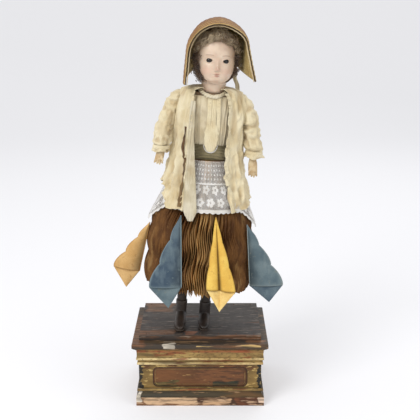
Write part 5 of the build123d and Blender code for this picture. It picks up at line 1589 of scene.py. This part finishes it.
@dataclass
class Arm:
    """A sleeve with its cuff over a stuffed arm and a kid hand."""

    side: str
    sleeve: Sequence[Station]
    arm: Sequence[Station]
    seed: int
    flare: float = 0.0

    def dress(self) -> None:
        """Makes sleeve, cuff, arm and hand."""
        body = f"{self.side}_arm_body"
        low, high = min(r[0] for r in self.sleeve), max(r[0] for r in self.sleeve)
        heights = np.linspace(low, high, 60)
        found = by_height(self.sleeve, heights)
        angles = full_turn(96)
        rows = []
        for z, (x, y, w, d) in zip(heights, found):
            up = (z - low) / (high - low)
            fold = ripple(angles / math.tau, np.full_like(angles, up), self.seed, 7)
            cross = math.sin(math.tau * (5.2 * up) + 1) * math.exp(-((up - 0.45) / 0.3) ** 2)
            cuff = math.exp(-(((up - 0.1) / 0.05) ** 2))
            grow = 1.1 * fold * (1 - 0.5 * up) + 0.9 * cross * np.cos(angles + 2) - 1.6 * cuff
            grow = grow + self.flare * (1 - min(1.0, up / 0.2)) - 0.3
            tall = z + 1.1 * np.sin(3 * angles + self.seed) * (1 - up) * 0.8
            rows.append(oval(angles, (x, y), w + grow, d + grow, tall))
        top = rows[-1]
        for shrink in (0.7, 0.35):
            rows.append(top.mean(0) + (top - top.mean(0)) * shrink + [0, 0, 1.4 * (1 - shrink)])
        grid = np.array(rows)
        dents = 0.9 * crumple(grid, 8.5, self.seed) + 1.2 * creases(grid, (9, 9, 6.5), self.seed)
        grid = grid + outward(grid) * dents[..., None]
        # painted shade in the sleeve's dents, stored as crease; its inside is the cotton in painted shade
        sleeve = cover(f"{self.side}_sleeve_cloth", grid, body, [COTTON, COTTON_IN_SHADE], "cotton_cream",
                       [f"{self.side}_sleeve"], wall=0.5, offset=-1.0,
                       marks={"crease": 0.75 * smooth_step(-dents, -0.2, 2.4)}, around=True)
        self.make_cuff(body, low, found)
        self.make_hand(body)

    def make_cuff(self, body: str, low: float, found: Points) -> None:
        """The gathered band at the wrist."""
        x, y, w, d = found[4]
        angles = full_turn(120)
        rows = []
        for up in np.linspace(0, 1, 9):
            bulge = 0.9 * math.sin(math.pi * up) + 0.3 * np.sin(26 * angles)
            rows.append(oval(angles, (x, y), w - 0.9 + bulge, d - 0.9 + bulge, low + 2.6 + 4.4 * up))
        cover(f"{self.side}_cuff", rows, body, COTTON, "cotton_cream", wall=0.5, offset=-1.0, around=True)

    def make_hand(self, body: str) -> None:
        """The arm, palm, four fingers and thumb, melted into one kid glove."""
        ordered = sorted(self.arm)
        heights = np.linspace(ordered[1][0], ordered[-1][0], 30)
        rows = [
            oval(full_turn(20), (x, y), w, d, z) for z, (x, y, w, d) in zip(heights, by_height(self.arm,
                heights))]
        parts = [closed_form(STANCE.stand(np.array(rows)))]
        tip_z, tip_x, tip_y = ordered[0][:3]
        palm_z, palm_x, palm_y, palm_w, palm_d = ordered[1]
        away = -1 if self.side == "left" else 1
        for off in np.linspace(-1, 1, 4):
            start = np.array([palm_x + off * palm_w * 0.58, palm_y + 0.8 * off, palm_z + 2.2])
            end = np.array(
                [tip_x - away * 1.2 + off * 4.3, tip_y + 1.2 * off, tip_z - 0.6 + 1.9 * abs(off - 0.2)])
            bend = start * 0.5 + end * 0.5 + [0, -1.1, 0]
            path = np.array([start, (start + bend) / 2, bend, (bend + end) / 2, end])
            parts.append(tube(STANCE.stand(path), np.array([1.6, 1.4, 1.25, 1.15, 0.9]) * MM))
        start = np.array([palm_x - away * 2.6, palm_y - palm_d * 0.6, palm_z + 5.0])
        end = np.array([palm_x - away * 4.6, palm_y - palm_d - 0.6, palm_z - 0.6])
        path = np.array([start, start * 0.6 + end * 0.4, end])
        parts.append(tube(STANCE.stand(path), np.array([1.6, 1.35, 0.85]) * MM))
        hand = fuse(joined(f"{self.side}_hand", parts), 0.00042, 3)
        place(hand, body, KID, [f"{self.side}_arm"])


ARMS = (
    Arm("left", ((263, -34.5, 5, 3.6, 5), (259, -37, 5, 6.8, 8.6), (250, -40.6, 5, 8.6, 11),
        (238, -44.8, 3, 9, 11), (222, -48.6, -2, 9.2, 10.4), (208, -49.6, -6.6, 9.6, 9.6),
        (198, -50, -9.4, 8.8, 8.6)), ((254, -42.8, 5, 1.8, 4), (246, -44.2, 4.6, 2.6, 4.2),
        (232, -46.4, 2, 3.6, 4), (218, -48, -3, 3.8, 4), (202, -49.6, -9, 3.4, 3.4), (196, -50.4, -10, 4.6,
        4.2), (189, -51.6, -11.5, 4.4, 3.4), (184, -53, -12.5, 2, 1.8)), 31),
    Arm("right", ((263, 33, 5, 3.6, 5), (258, 36, 5, 6.8, 8.6), (250, 39, 5, 8.4, 11), (238, 42.6, 3, 8.8,
        11), (222, 46, 0, 9, 10.2), (208, 49, -2.4, 9.6, 9.6), (198, 51, -4.4, 9.6, 9)),
        ((254, 42.2, 5, 2, 4), (246, 42.8, 4.6, 2.8, 4.2), (232, 45, 3, 3.4, 4), (215, 47.6, 0, 3.6, 3.8),
        (199, 49.4, -4, 3.2, 3.2), (190, 50.2, -5.5, 5, 3.6), (182, 51, -6.5, 5, 3), (176.5, 52.4, -7, 2.6,
        1.8)), 47, 0.9),)


# ---- ribbons
@dataclass
class Ribbon:
    """A crumpled ribbon that hangs through given points, each with its width."""

    name: str
    node: str
    body: str
    knots: Sequence[tuple[float, float, float, float]]
    seed: int

    def dress(self) -> None:
        """Makes the ribbon."""
        knots = np.array(self.knots, float)
        along = np.concatenate([[0], np.cumsum(np.linalg.norm(np.diff(knots[:, :3], axis=0), axis=1))])
        at = np.linspace(0, along[-1], 110)
        found = curve_through(at, along, knots)
        rows = []
        for length, (x, y, z, width) in zip(at, found):
            off = np.linspace(-0.5, 0.5, 12) * width
            fold = 0.55 * np.sin(off * 2.1 + 0.06 * length * self.seed)
            fold = fold + 0.35 * math.sin(length * 0.33 + self.seed)
            rows.append(np.column_stack([x + off, y - 0.6 + fold, np.full(12, z)]))
        obj = cover(self.name, rows, self.body, RIBBON, "cotton_cream", [self.node], wall=0.3, flip=True)


# ---- head
@dataclass
class Head:
    """Wax head of the doll's own plain kind, with glass eyes, and its neck."""

    yaw: float = math.radians(6.0)
    neck_x: float = 1.0
    eye_z: float = 298.7
    eye_x: float = 8.5
    rows: int = 190
    columns: int = 230

    SECTIONS = (
        (275.5, 9, 12.5, -6.2), (279, 14.2, 17.2, -3.8), (285, 18.4, 20.2, -2), (292, 20.2, 21.4, -0.8),
        (300, 20.4, 21.8, 0), (310, 19.8, 21.6, 0.6), (320, 16.8, 18.8, 1.2), (327, 11.6, 13.4, 1.6),
        (331, 4.6, 5.4, 1.8))

    NECK = ((264.6, 11.9), (267.0, 11.7), (269.6, 12.2), (272.6, 13.2), (275.2, 13.6), (277.5, 13.0),
            (284.0, 11.0))
    # what stands out: how far, its middle and width across, its middle and height up
    FEATURES = {
        "tip": (2.5, 0, 2.1, 291.0, 2.4), "wings": (0.9, 2.2, 1.1, 289.9, 1.3), "under the nose": (-0.7, 0,
            2.6, 287.6, 1.1), "upper lip": (1.0, 0, 3.3, 285.7, 0.95), "lower lip": (1.15, 0, 2.7, 283.3,
            1.05), "mouth": (-0.75, 0, 3.4, 284.5, 0.4), "chin": (1.5, 0, 4.4, 279.4, 2.5),
        "fold": (-0.5, 0, 9.0, 276.6, 0.6), "cheeks": (1.3, 10.5, 5.0, 287.5, 5.4), "sockets": (-1.3, 8.5,
            4.8, 298.7, 3.4), "brows": (0.55, 8.2, 5.4, 304.2, 1.9)}

    def turned(self, points: Points) -> Points:
        """Points of a head that looks straight ahead, turned to where it looks."""
        x, y = points[..., 0], points[..., 1]
        cos, sin = math.cos(self.yaw), math.sin(self.yaw)
        return np.stack([self.neck_x + x * cos - y * sin, x * sin + y * cos, points[..., 2]], -1)

    def relief(self, x: Points, z: Points) -> Points:
        """How far the face stands out in front of the plain head, in millimetres."""
        side = np.abs(x)
        total = 1.3 * hill(x, 0, 1.9) * smooth_step(z, 289.0, 293.0) * smooth_step(-z, -303, -296)
        for out, across, wide, up, tall in self.FEATURES.values():
            total = total + out * hill(side, across, wide) * hill(z, up, tall)
        lid = self.lid(side, z)
        rim = 0.75 * np.exp(-((np.sqrt(lid) - 1.3) / 0.3) ** 2)
        return total + rim - 3.6 * (1 - smooth_step(lid, 0.6, 1.05))

    def lid(self, side: Points, z: Points) -> Points:
        """The square of the distance from an eye's middle, 1 at its lids."""
        return ((side - self.eye_x) / 2.7) ** 2 + ((z - self.eye_z) / 1.75) ** 2

    def dress(self, nodes: dict) -> None:
        """Makes the head and its neck, and finishes the eyes."""
        rows = []
        heights = np.concatenate([[274.6], np.linspace(275.5, 331.0, self.rows), [332.2]])
        found = by_height(self.SECTIONS, heights)
        bend = np.linspace(-math.pi, math.pi, self.columns, endpoint=False)
        angles = -math.pi / 2 + bend - 0.42 * np.sin(bend)
        for z, (w, d, y0) in zip(heights, found):
            if z < 275.5 or z > 331.0:
                w, d = w * 0.55, d * 0.55
            xy = ring(w, d, angles, 2.12)
            face = smooth_step(-np.sin(angles), 0.05, 0.45)
            push = self.relief(xy[:, 0], np.full(self.columns, z)) * face
            if z < 275.5:
                push = push * 0
            rows.append(np.column_stack([xy[:, 0], xy[:, 1] + y0 - push, np.full(self.columns, z)]))
        grid = np.array(rows)
        head = skin("wax_head", STANCE.stand(self.turned(grid)), around=True, caps=True)
        self.tint(head, grid)
        place(head, "head", WAX, ["head_shell"])
        neck = [oval(full_turn(48), (self.neck_x, 1.0), radius, radius, z) for z, radius in self.NECK]
        cover("wax_neck", neck, "head", WAX, "wax", around=True, caps=True)
        repaint(nodes, EYE_GLASS, "glass_eyes")

    def tint(self, head: Thing, grid: Points) -> None:
        """Stores where lips, brows, lashes and cheeks are painted."""
        x, y, z = (grid[..., n].ravel() for n in range(3))
        front = (y < -6).astype(float)
        side = np.abs(x)
        lip = hill(x, 0, 3.1) * np.maximum(hill(z, 285.5, 0.75), hill(z, 283.5, 0.85))
        arch = 304.6 - 0.035 * (side - 8.4) ** 2
        brow = 0.5 * hill(z, arch, 0.5) * smooth_step(side, 3.6, 5.2) * smooth_step(-side, -13.5, -11.5)
        lid = np.sqrt(self.lid(side, z))
        lash = np.exp(-((lid - 1.05) / 0.15) ** 2) * smooth_step(z, 297.6, 299.8)
        blush = 0.34 * hill(side, 11.0, 4.6) * hill(z, 288.0, 4.4) + 0.25 * hill(x, 0, 2) * hill(z, 291,
                                                                                                 2.0)
        for name, values in (("lip", 0.7 * smooth_step(lip, 0.25, 0.8)), ("brow", brow),
                             ("lash", 0.8 * lash), ("blush", blush)):
            mark(head, name, np.concatenate([values * front, [0.0, 0.0]]))


@dataclass
class Wig:
    """Mohair wig: a smooth cap behind and loose frizzy curls round the face."""

    head: Head = field(default_factory=Head)
    curls: int = 620
    seed: int = 13

    def shell(self, angles: Points, z: float, more: float) -> Points:
        """A ring round the head at height z, grown by more."""
        w, d, y0 = by_height(Head.SECTIONS, [z])[0]
        xy = ring(w + more, d + more, angles, 2.12)
        return np.column_stack([xy[:, 0], xy[:, 1] + y0, np.full(len(angles), z)])

    def dress(self) -> None:
        """Makes the cap and the curls."""
        angles = np.linspace(0.0, 1.0, 150)
        rows = []
        for z in np.linspace(276.0, 330.0, 60):
            closed = smooth_step(np.array(z), 312.0, 327.0)
            spread = np.radians(-14 - 76 * closed + angles * (208 + 152 * closed))
            lock = 0.5 * np.sin(spread * 34 + 0.5 * math.sin(z / 4)) + 0.3 * np.sin(z * 1.3)
            rows.append(self.shell(spread, z, 2.3 + lock))
        top = rows[-1]
        for shrink in (0.6, 0.2):
            rows.append(top.mean(0) + (top - top.mean(0)) * shrink + [0, 0, 2.4 * (1 - shrink)])
        # the cap's darker mohair is painted shade that shows between the curls
        cover("wig_cap", self.head.turned(np.array(rows)), "head", DARK_MOHAIR, "mohair", ["wig"], wall=1.6,
              offset=-1.0)
        self.make_curls("forehead_curls", MOHAIR, self.curls, self.forehead_spot, self.seed)
        self.make_curls("side_curls", DARK_MOHAIR, 150, self.side_spot, self.seed + 1)

    def forehead_spot(self, picker: random.Random) -> Points:
        """A place in the frizz round the forehead and temples."""
        turn = picker.uniform(-1, 1)
        angle = -math.pi / 2 + turn * 1.6
        low = 320.0 - 20.0 * abs(turn) ** 2.0
        z = low + picker.uniform(0.0, 1.0) * (9.0 + 5.0 * abs(turn))
        return self.shell(np.array([angle]), min(z, 329.0), picker.uniform(0.2, 4.2))[0]

    def side_spot(self, picker: random.Random) -> Points:
        """A place in the longer curls beside the cheeks."""
        left = picker.random() < 0.72
        angle = math.radians(picker.uniform(184, 208) if left else picker.uniform(-24, -2))
        z = picker.uniform(277.0 if left else 284.0, 303.0)
        return self.shell(np.array([angle]), z, picker.uniform(0.8, 3.6))[0]

    def make_curls(self, name: str, finish: Finish, count: int, spot: Callable[[random.Random], Points],
                   seed: int) -> None:
        """Curls of one shade, each a small coil of hair."""
        picker = random.Random(seed)
        recipe = Recipe(name)
        g = recipe.g
        coil = g.add(
            "GeometryNodeCurveSpiral", {"Resolution": recipe.count("Points per Turn", 7),
                "Rotations": recipe.size("Turns", 2.1), "Start Radius": recipe.size("Wide End", 0.0021),
                "End Radius": recipe.size("Narrow End", 0.0011), "Height": recipe.size("Curl Length",
                0.0042)})
        hair = g.add(
            "GeometryNodeCurvePrimitiveCircle", {"Resolution": 3, "Radius": recipe.size("Lock Radius",
                0.00026)})
        lock = g.add("GeometryNodeCurveToMesh", {0: coil.outputs[0], 1: hair.outputs[0]})
        spots = np.array([spot(picker) for _ in range(count)])
        turns = [[picker.uniform(0, math.tau) for _ in range(3)] for _ in range(count)]
        sizes = [picker.uniform(0.6, 1.4) for _ in range(count)]
        curls = recipe.instances_at(
            finish, lock.outputs[0], STANCE.stand(self.head.turned(spots)), np.array(turns),
            np.array(sizes))
        place(curls, "head", finish)


# ---- bonnet
@dataclass
class Bonnet:
    """Straw bonnet sewn from rows of plait, its brim flaring round the face."""

    straw: float = 1.3
    across: int = 150
    plait: float = 4.2
    shrink: float = 0.8
    crown_middle: float = 306.0
    crown_back: float = 27.6

    ARCHES = (
        (-27, (-28.6, 272.5), (-28, 303), (2.5, 336), (33.5, 315), (43.5, 281.5)), (-14, (-30.2, 273.5),
            (-29.6, 305), (2, 340), (32, 316.5), (37, 284)), (0, (-29.4, 276), (-29, 305), (2, 341.5),
            (30.2, 315), (31.5, 287)), (14, (-26.4, 279), (-26.6, 304), (2, 339.5), (28.5, 312),
            (28, 288.5)))

    def arch(self, values: Points) -> Points:
        """Evenly spaced points over the head, from the left foot to the right one.

        Args:
            values: Left foot, left side, top, right side and right foot, as x and z.

        Returns:
            The points as x and z.
        """
        left_foot, left, top, right, right_foot = values.reshape(5, 2)
        turn = np.linspace(0, math.pi / 2, 24)
        rise = np.column_stack(
            [top[0] + (left[0] - top[0]) * np.cos(turn), left[1] + (top[1] - left[1]) * np.sin(turn)])
        fall = np.column_stack([top[0] + (right[0] - top[0]) * np.sin(turn[1:]),
                                right[1] + (top[1] - right[1]) * np.cos(turn[1:])])
        feet = [left_foot + (left - left_foot) * s for s in np.linspace(0, 0.94, 8)]
        ends = [right + (right_foot - right) * s for s in np.linspace(0.06, 1, 8)]
        line = np.vstack([feet, rise, fall, ends])
        for _ in range(6):
            line[1:-1] = (line[:-2] + 2 * line[1:-1] + line[2:]) / 4
        along = np.concatenate([[0], np.cumsum(np.linalg.norm(np.diff(line, axis=0), axis=1))])
        at = np.linspace(0, along[-1], self.across)
        return np.column_stack([np.interp(at, along, line[:, n]) for n in range(2)])

    def rows(self) -> Points:
        """Points of the bonnet from its rim to the middle of its crown."""
        knots = [a[0] for a in self.ARCHES]
        values = [np.array(a[1:]).ravel() for a in self.ARCHES]
        rows = []
        for y in np.linspace(-27.0, 14.0, 62):
            xz = self.arch(curve_through(np.array([y]), knots, values)[0])
            rows.append(np.column_stack([xz[:, 0], np.full(self.across, y), xz[:, 1]]))
        last = rows[-1]
        for step in np.linspace(0.08, 1.0, 18):
            scale = 1 - (1 - self.shrink) * step**1.5
            y = 14.0 + (self.crown_back - 14.0) * math.sin(step * math.pi / 2)
            rows.append(np.column_stack([2 + scale * (last[:, 0] - 2), np.full(self.across, y),
                                         self.crown_middle + scale * (last[:, 2] - self.crown_middle)]))
        rim = rows[-1]
        middle = np.array([2.0, self.crown_back, 292.0])
        for step in np.linspace(0.06, 0.985, 20):
            rows.append(rim + step * (middle - rim) + [0, 0.25 * math.sin(math.pi * step), 0])
        return np.array(rows)

    def dress(self) -> None:
        """Makes the straw with its plaited rows, the wire and the piping of the rim."""
        grid = self.rows()
        along = np.concatenate([[0], np.cumsum(np.linalg.norm(np.diff(grid, axis=0), axis=2) .mean(1))])
        up = np.gradient(grid, axis=0)
        across = np.gradient(grid, axis=1)
        normal = np.cross(across, up)
        normal /= np.maximum(np.linalg.norm(normal, axis=2, keepdims=True), 1e-6)
        toward = np.sign(((grid - [2, 0, 300]) * normal).sum(-1, keepdims=True))
        normal = normal * np.where(toward == 0, 1, toward)
        ridge = np.abs(np.sin(math.pi * along / self.plait))[:, None]
        knots = 0.12 * np.sin(np.linspace(0, 190, self.across))[None, :]
        dent = crumple(grid, 16.0, 4)
        grid = grid + normal * (0.42 * ridge - 0.3 + knots + 0.5 * dent)[..., None]
        rim_width = smooth_step(np.arange(len(grid)), 0, 6)[:, None]
        wobble = 0.9 * np.sin(np.linspace(0, 17, self.across) + 0.6)[None, :]
        grid[..., 1] += wobble * (1 - rim_width) * 0.6 + 0.3
        cover("plaited_bonnet", grid, "head", [STRAW_LINING, STRAW], "straw", ["bonnet"], wall=self.straw,
              offset=-1.0, flip=True)
        cord("rim_wire", grid[0], 0.62, 8, "head", BONNET_WIRE)
        inside = grid[0] - normal[0] * 1.5 + [0, 0.9, 0]
        cord("rim_piping", inside, 0.5, 8, "head", BONNET_PIPING)


# ---- legs
@dataclass
class Legs:
    """Turned legs in black stockings and heeled leather boots."""

    left_x: float = -15.8
    right_x: float = 11.2
    left_toe: float = -34.0
    right_toe: float = -28.0
    heel: float = 8.0

    # share of the way from heel to toe, half width, and the foot's height
    FOOT = ((0, 2.2, 9), (0.05, 4.6, 12.4), (0.3, 6.1, 12.6), (0.5, 6.2, 9.6), (0.68, 6.3, 7.2),
            (0.85, 5.4, 5.8), (0.95, 4, 4.6), (1, 1.8, 3.2))
    SOLE = ((0, 3.6), (0.08, 5.2), (0.3, 5.6), (0.5, 5.2), (0.7, 6.4), (0.85, 5.9), (0.95, 4.4), (1, 2.2))

    def dress(self, nodes: dict) -> None:
        """Finishes the legs and makes the boots."""
        repaint(nodes, LEG_BLACK, "left_leg", "right_leg")
        repaint(nodes, COMPOSITION, "hip_block", "torso_front_shell", "torso_back_shell", "shoulder_block")
        for side, x, toe in (("left", self.left_x, self.left_toe), ("right", self.right_x, self.right_toe)):
            self.make_boot(side, x, toe)

    def make_boot(self, side: str, x: float, toe: float) -> None:
        """One boot: foot, shaft, sole and laces."""
        length = self.heel - toe
        angles = full_turn(28)
        foot = [
            np.column_stack([x + wide * np.cos(angles), np.full(28, self.heel - length * share),
                1.9 + tall / 2 + tall / 2 * np.sin(angles)]) for share, wide, tall in self.FOOT]
        shaft = np.array([[x, 0, z] for z in (6.0, 14.0, 20.0, 25.6)])
        parts = [
            closed_form(STANCE.stand(np.array(foot))), tube(STANCE.stand(shaft),
                np.array([6.4, 6.3, 6.3, 6.6]) * MM, 24)]
        boot = fuse(joined(f"{side}_boot_upper", parts), 0.0007, 5)
        place(boot, "base", BOOT_BLACK, [f"{side}_boot"])
        outline = [(self.heel - length * share, wide) for share, wide in self.SOLE]
        line = curve_through(np.linspace(0, 1, 26), [share for share, _ in self.SOLE], outline)
        rim = np.vstack(
            [np.column_stack([x + line[:, 1], line[:, 0]]), np.column_stack([x - line[::-1, 1],
                line[::-1, 0]])])
        middle = rim.mean(0)
        rows = [np.column_stack([middle + (rim - middle) * (1 + grow / 12), np.full(52, level)]) for level,
                grow in ((0.35, -0.5), (0.35, 0.0), (2.3, 0.35), (2.5, -0.4))]
        cover(f"{side}_sole", rows, "base", LEG_BLACK, "boot_black", around=True, caps=True)
        laces = []
        for step in range(5):
            y, z = -6.6 + 0.12 * step, 13.5 + 2.4 * step
            for way in (-1, 1):
                path = np.array([[x - way * 2.4, y + 0.9, z], [x, y - 0.35, z + 0.9],
                                 [x + way * 2.4, y + 0.9, z + 1.8]])
                laces.append(tube(STANCE.stand(path), 0.34 * MM, 6))
        place(joined(f"{side}_laces", laces), "base", LEG_BLACK)


# ---- stage
@dataclass
class Stage:
    """Pale floor, soft light and the camera."""

    lens: float = 68.57
    camera: Triple = (0.011, -0.860, 0.4516)
    pitch: float = math.radians(74.5)
    floor_colour: Colour = (246, 246, 249)

    def set_up(self) -> None:
        """Makes camera, floor, lamps and world."""
        scene = bpy.context.scene
        data = bpy.data.cameras.new("camera")
        data.lens, data.sensor_width = self.lens, 36.0
        camera = bpy.data.objects.new("camera", data)
        camera.location, camera.rotation_euler = self.camera, (self.pitch, 0, 0)
        scene.collection.objects.link(camera)
        scene.camera = camera
        self.make_floor()
        self.lamp("key", (-0.8, -0.95, 1.25), 12.5, 0.7)
        self.lamp("fill", (1.1, -0.7, 0.8), 3.4, 1.1)
        self.lamp("rim", (0.3, 1.1, 1.2), 3.4, 0.9)
        world = bpy.data.worlds.new("studio")
        world.use_nodes = True
        background = world.node_tree.nodes["Background"]
        background.inputs[0].default_value = (1.0, 1.0, 1.0, 1.0)
        background.inputs[1].default_value = 0.74
        scene.world = world
        scene.view_settings.view_transform = "Standard"

    def make_floor(self) -> None:
        """A floor that curves up into a backdrop."""
        rows = []
        for step in range(40):
            y = -3.0 + step * 0.16
            rise = max(0.0, y - 1.6)
            rows.append([(x, y, rise**2 * 0.55) for x in (-4.0, -1.3, 1.3, 4.0)])
        floor = skin("floor", np.array(rows))
        material = bpy.data.materials.new("floor")
        material.use_nodes = True
        material.node_tree.nodes.clear()
        g = Graph(material.node_tree)
        soft = g.add("ShaderNodeBsdfDiffuse", {"Color": paint_colour(self.floor_colour)})
        bright = g.add("ShaderNodeEmission", {"Color": paint_colour(self.floor_colour), "Strength": 1.0})
        mixed = g.add("ShaderNodeMixShader", {0: 0.25, 1: soft.outputs[0], 2: bright.outputs[0]})
        g.add("ShaderNodeOutputMaterial", {0: mixed.outputs[0]})
        floor.data.materials.append(material)

    def lamp(self, name: str, at: Triple, power: float, size: float) -> None:
        """One soft lamp that looks at the figure."""
        data = bpy.data.lights.new(name, "AREA")
        data.energy, data.size = power, size
        obj = bpy.data.objects.new(name, data)
        obj.location = at
        way = Vector((0.0, 0.0, 0.22)) - Vector(at)
        obj.rotation_euler = way.to_track_quat("-Z", "Y").to_euler()
        bpy.context.scene.collection.objects.link(obj)


def main() -> None:
    """Dresses the automaton, piece by piece."""
    logging.basicConfig(level=logging.INFO, format="%(name)s: %(message)s")
    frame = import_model()
    nodes = frame["nodes"]
    Stage().set_up()
    Case().dress(nodes)
    Crank().dress(nodes)
    Legs().dress(nodes)
    PaperSkirt().dress()
    for leaf in OPEN_LEAVES:
        leaf.dress()
    Sash().dress()
    LaceOverskirt().dress()
    Blouse().dress()
    NeckTrim().dress()
    Jacket().dress()
    for arm in ARMS:
        arm.dress()
    Ribbon("hanging_ribbon", "front_ribbon", "base", [(-19, -18.6, 256, 5), (-19, -22.4, 225, 6.5),
                                                      (-17.5, -25.4, 200, 8), (-15.5, -40.3, 172, 11),
                                                      (-14, -50.6, 146, 14), (-13, -50.8, 134, 5)],
           3).dress()
    Head().dress(nodes)
    Wig().dress()
    Bonnet().dress()
    Ribbon("bonnet_string", "bonnet_tie", "head", [(23.2, 15, 290, 4.4), (23.2, 15.5, 281, 4.4),
                                                   (27, 20, 271, 4.6), (28, 22.5, 264, 4.8),
                                                   (28.5, 24, 259, 5)], 5).dress()


if __name__ == "__main__":
    main()
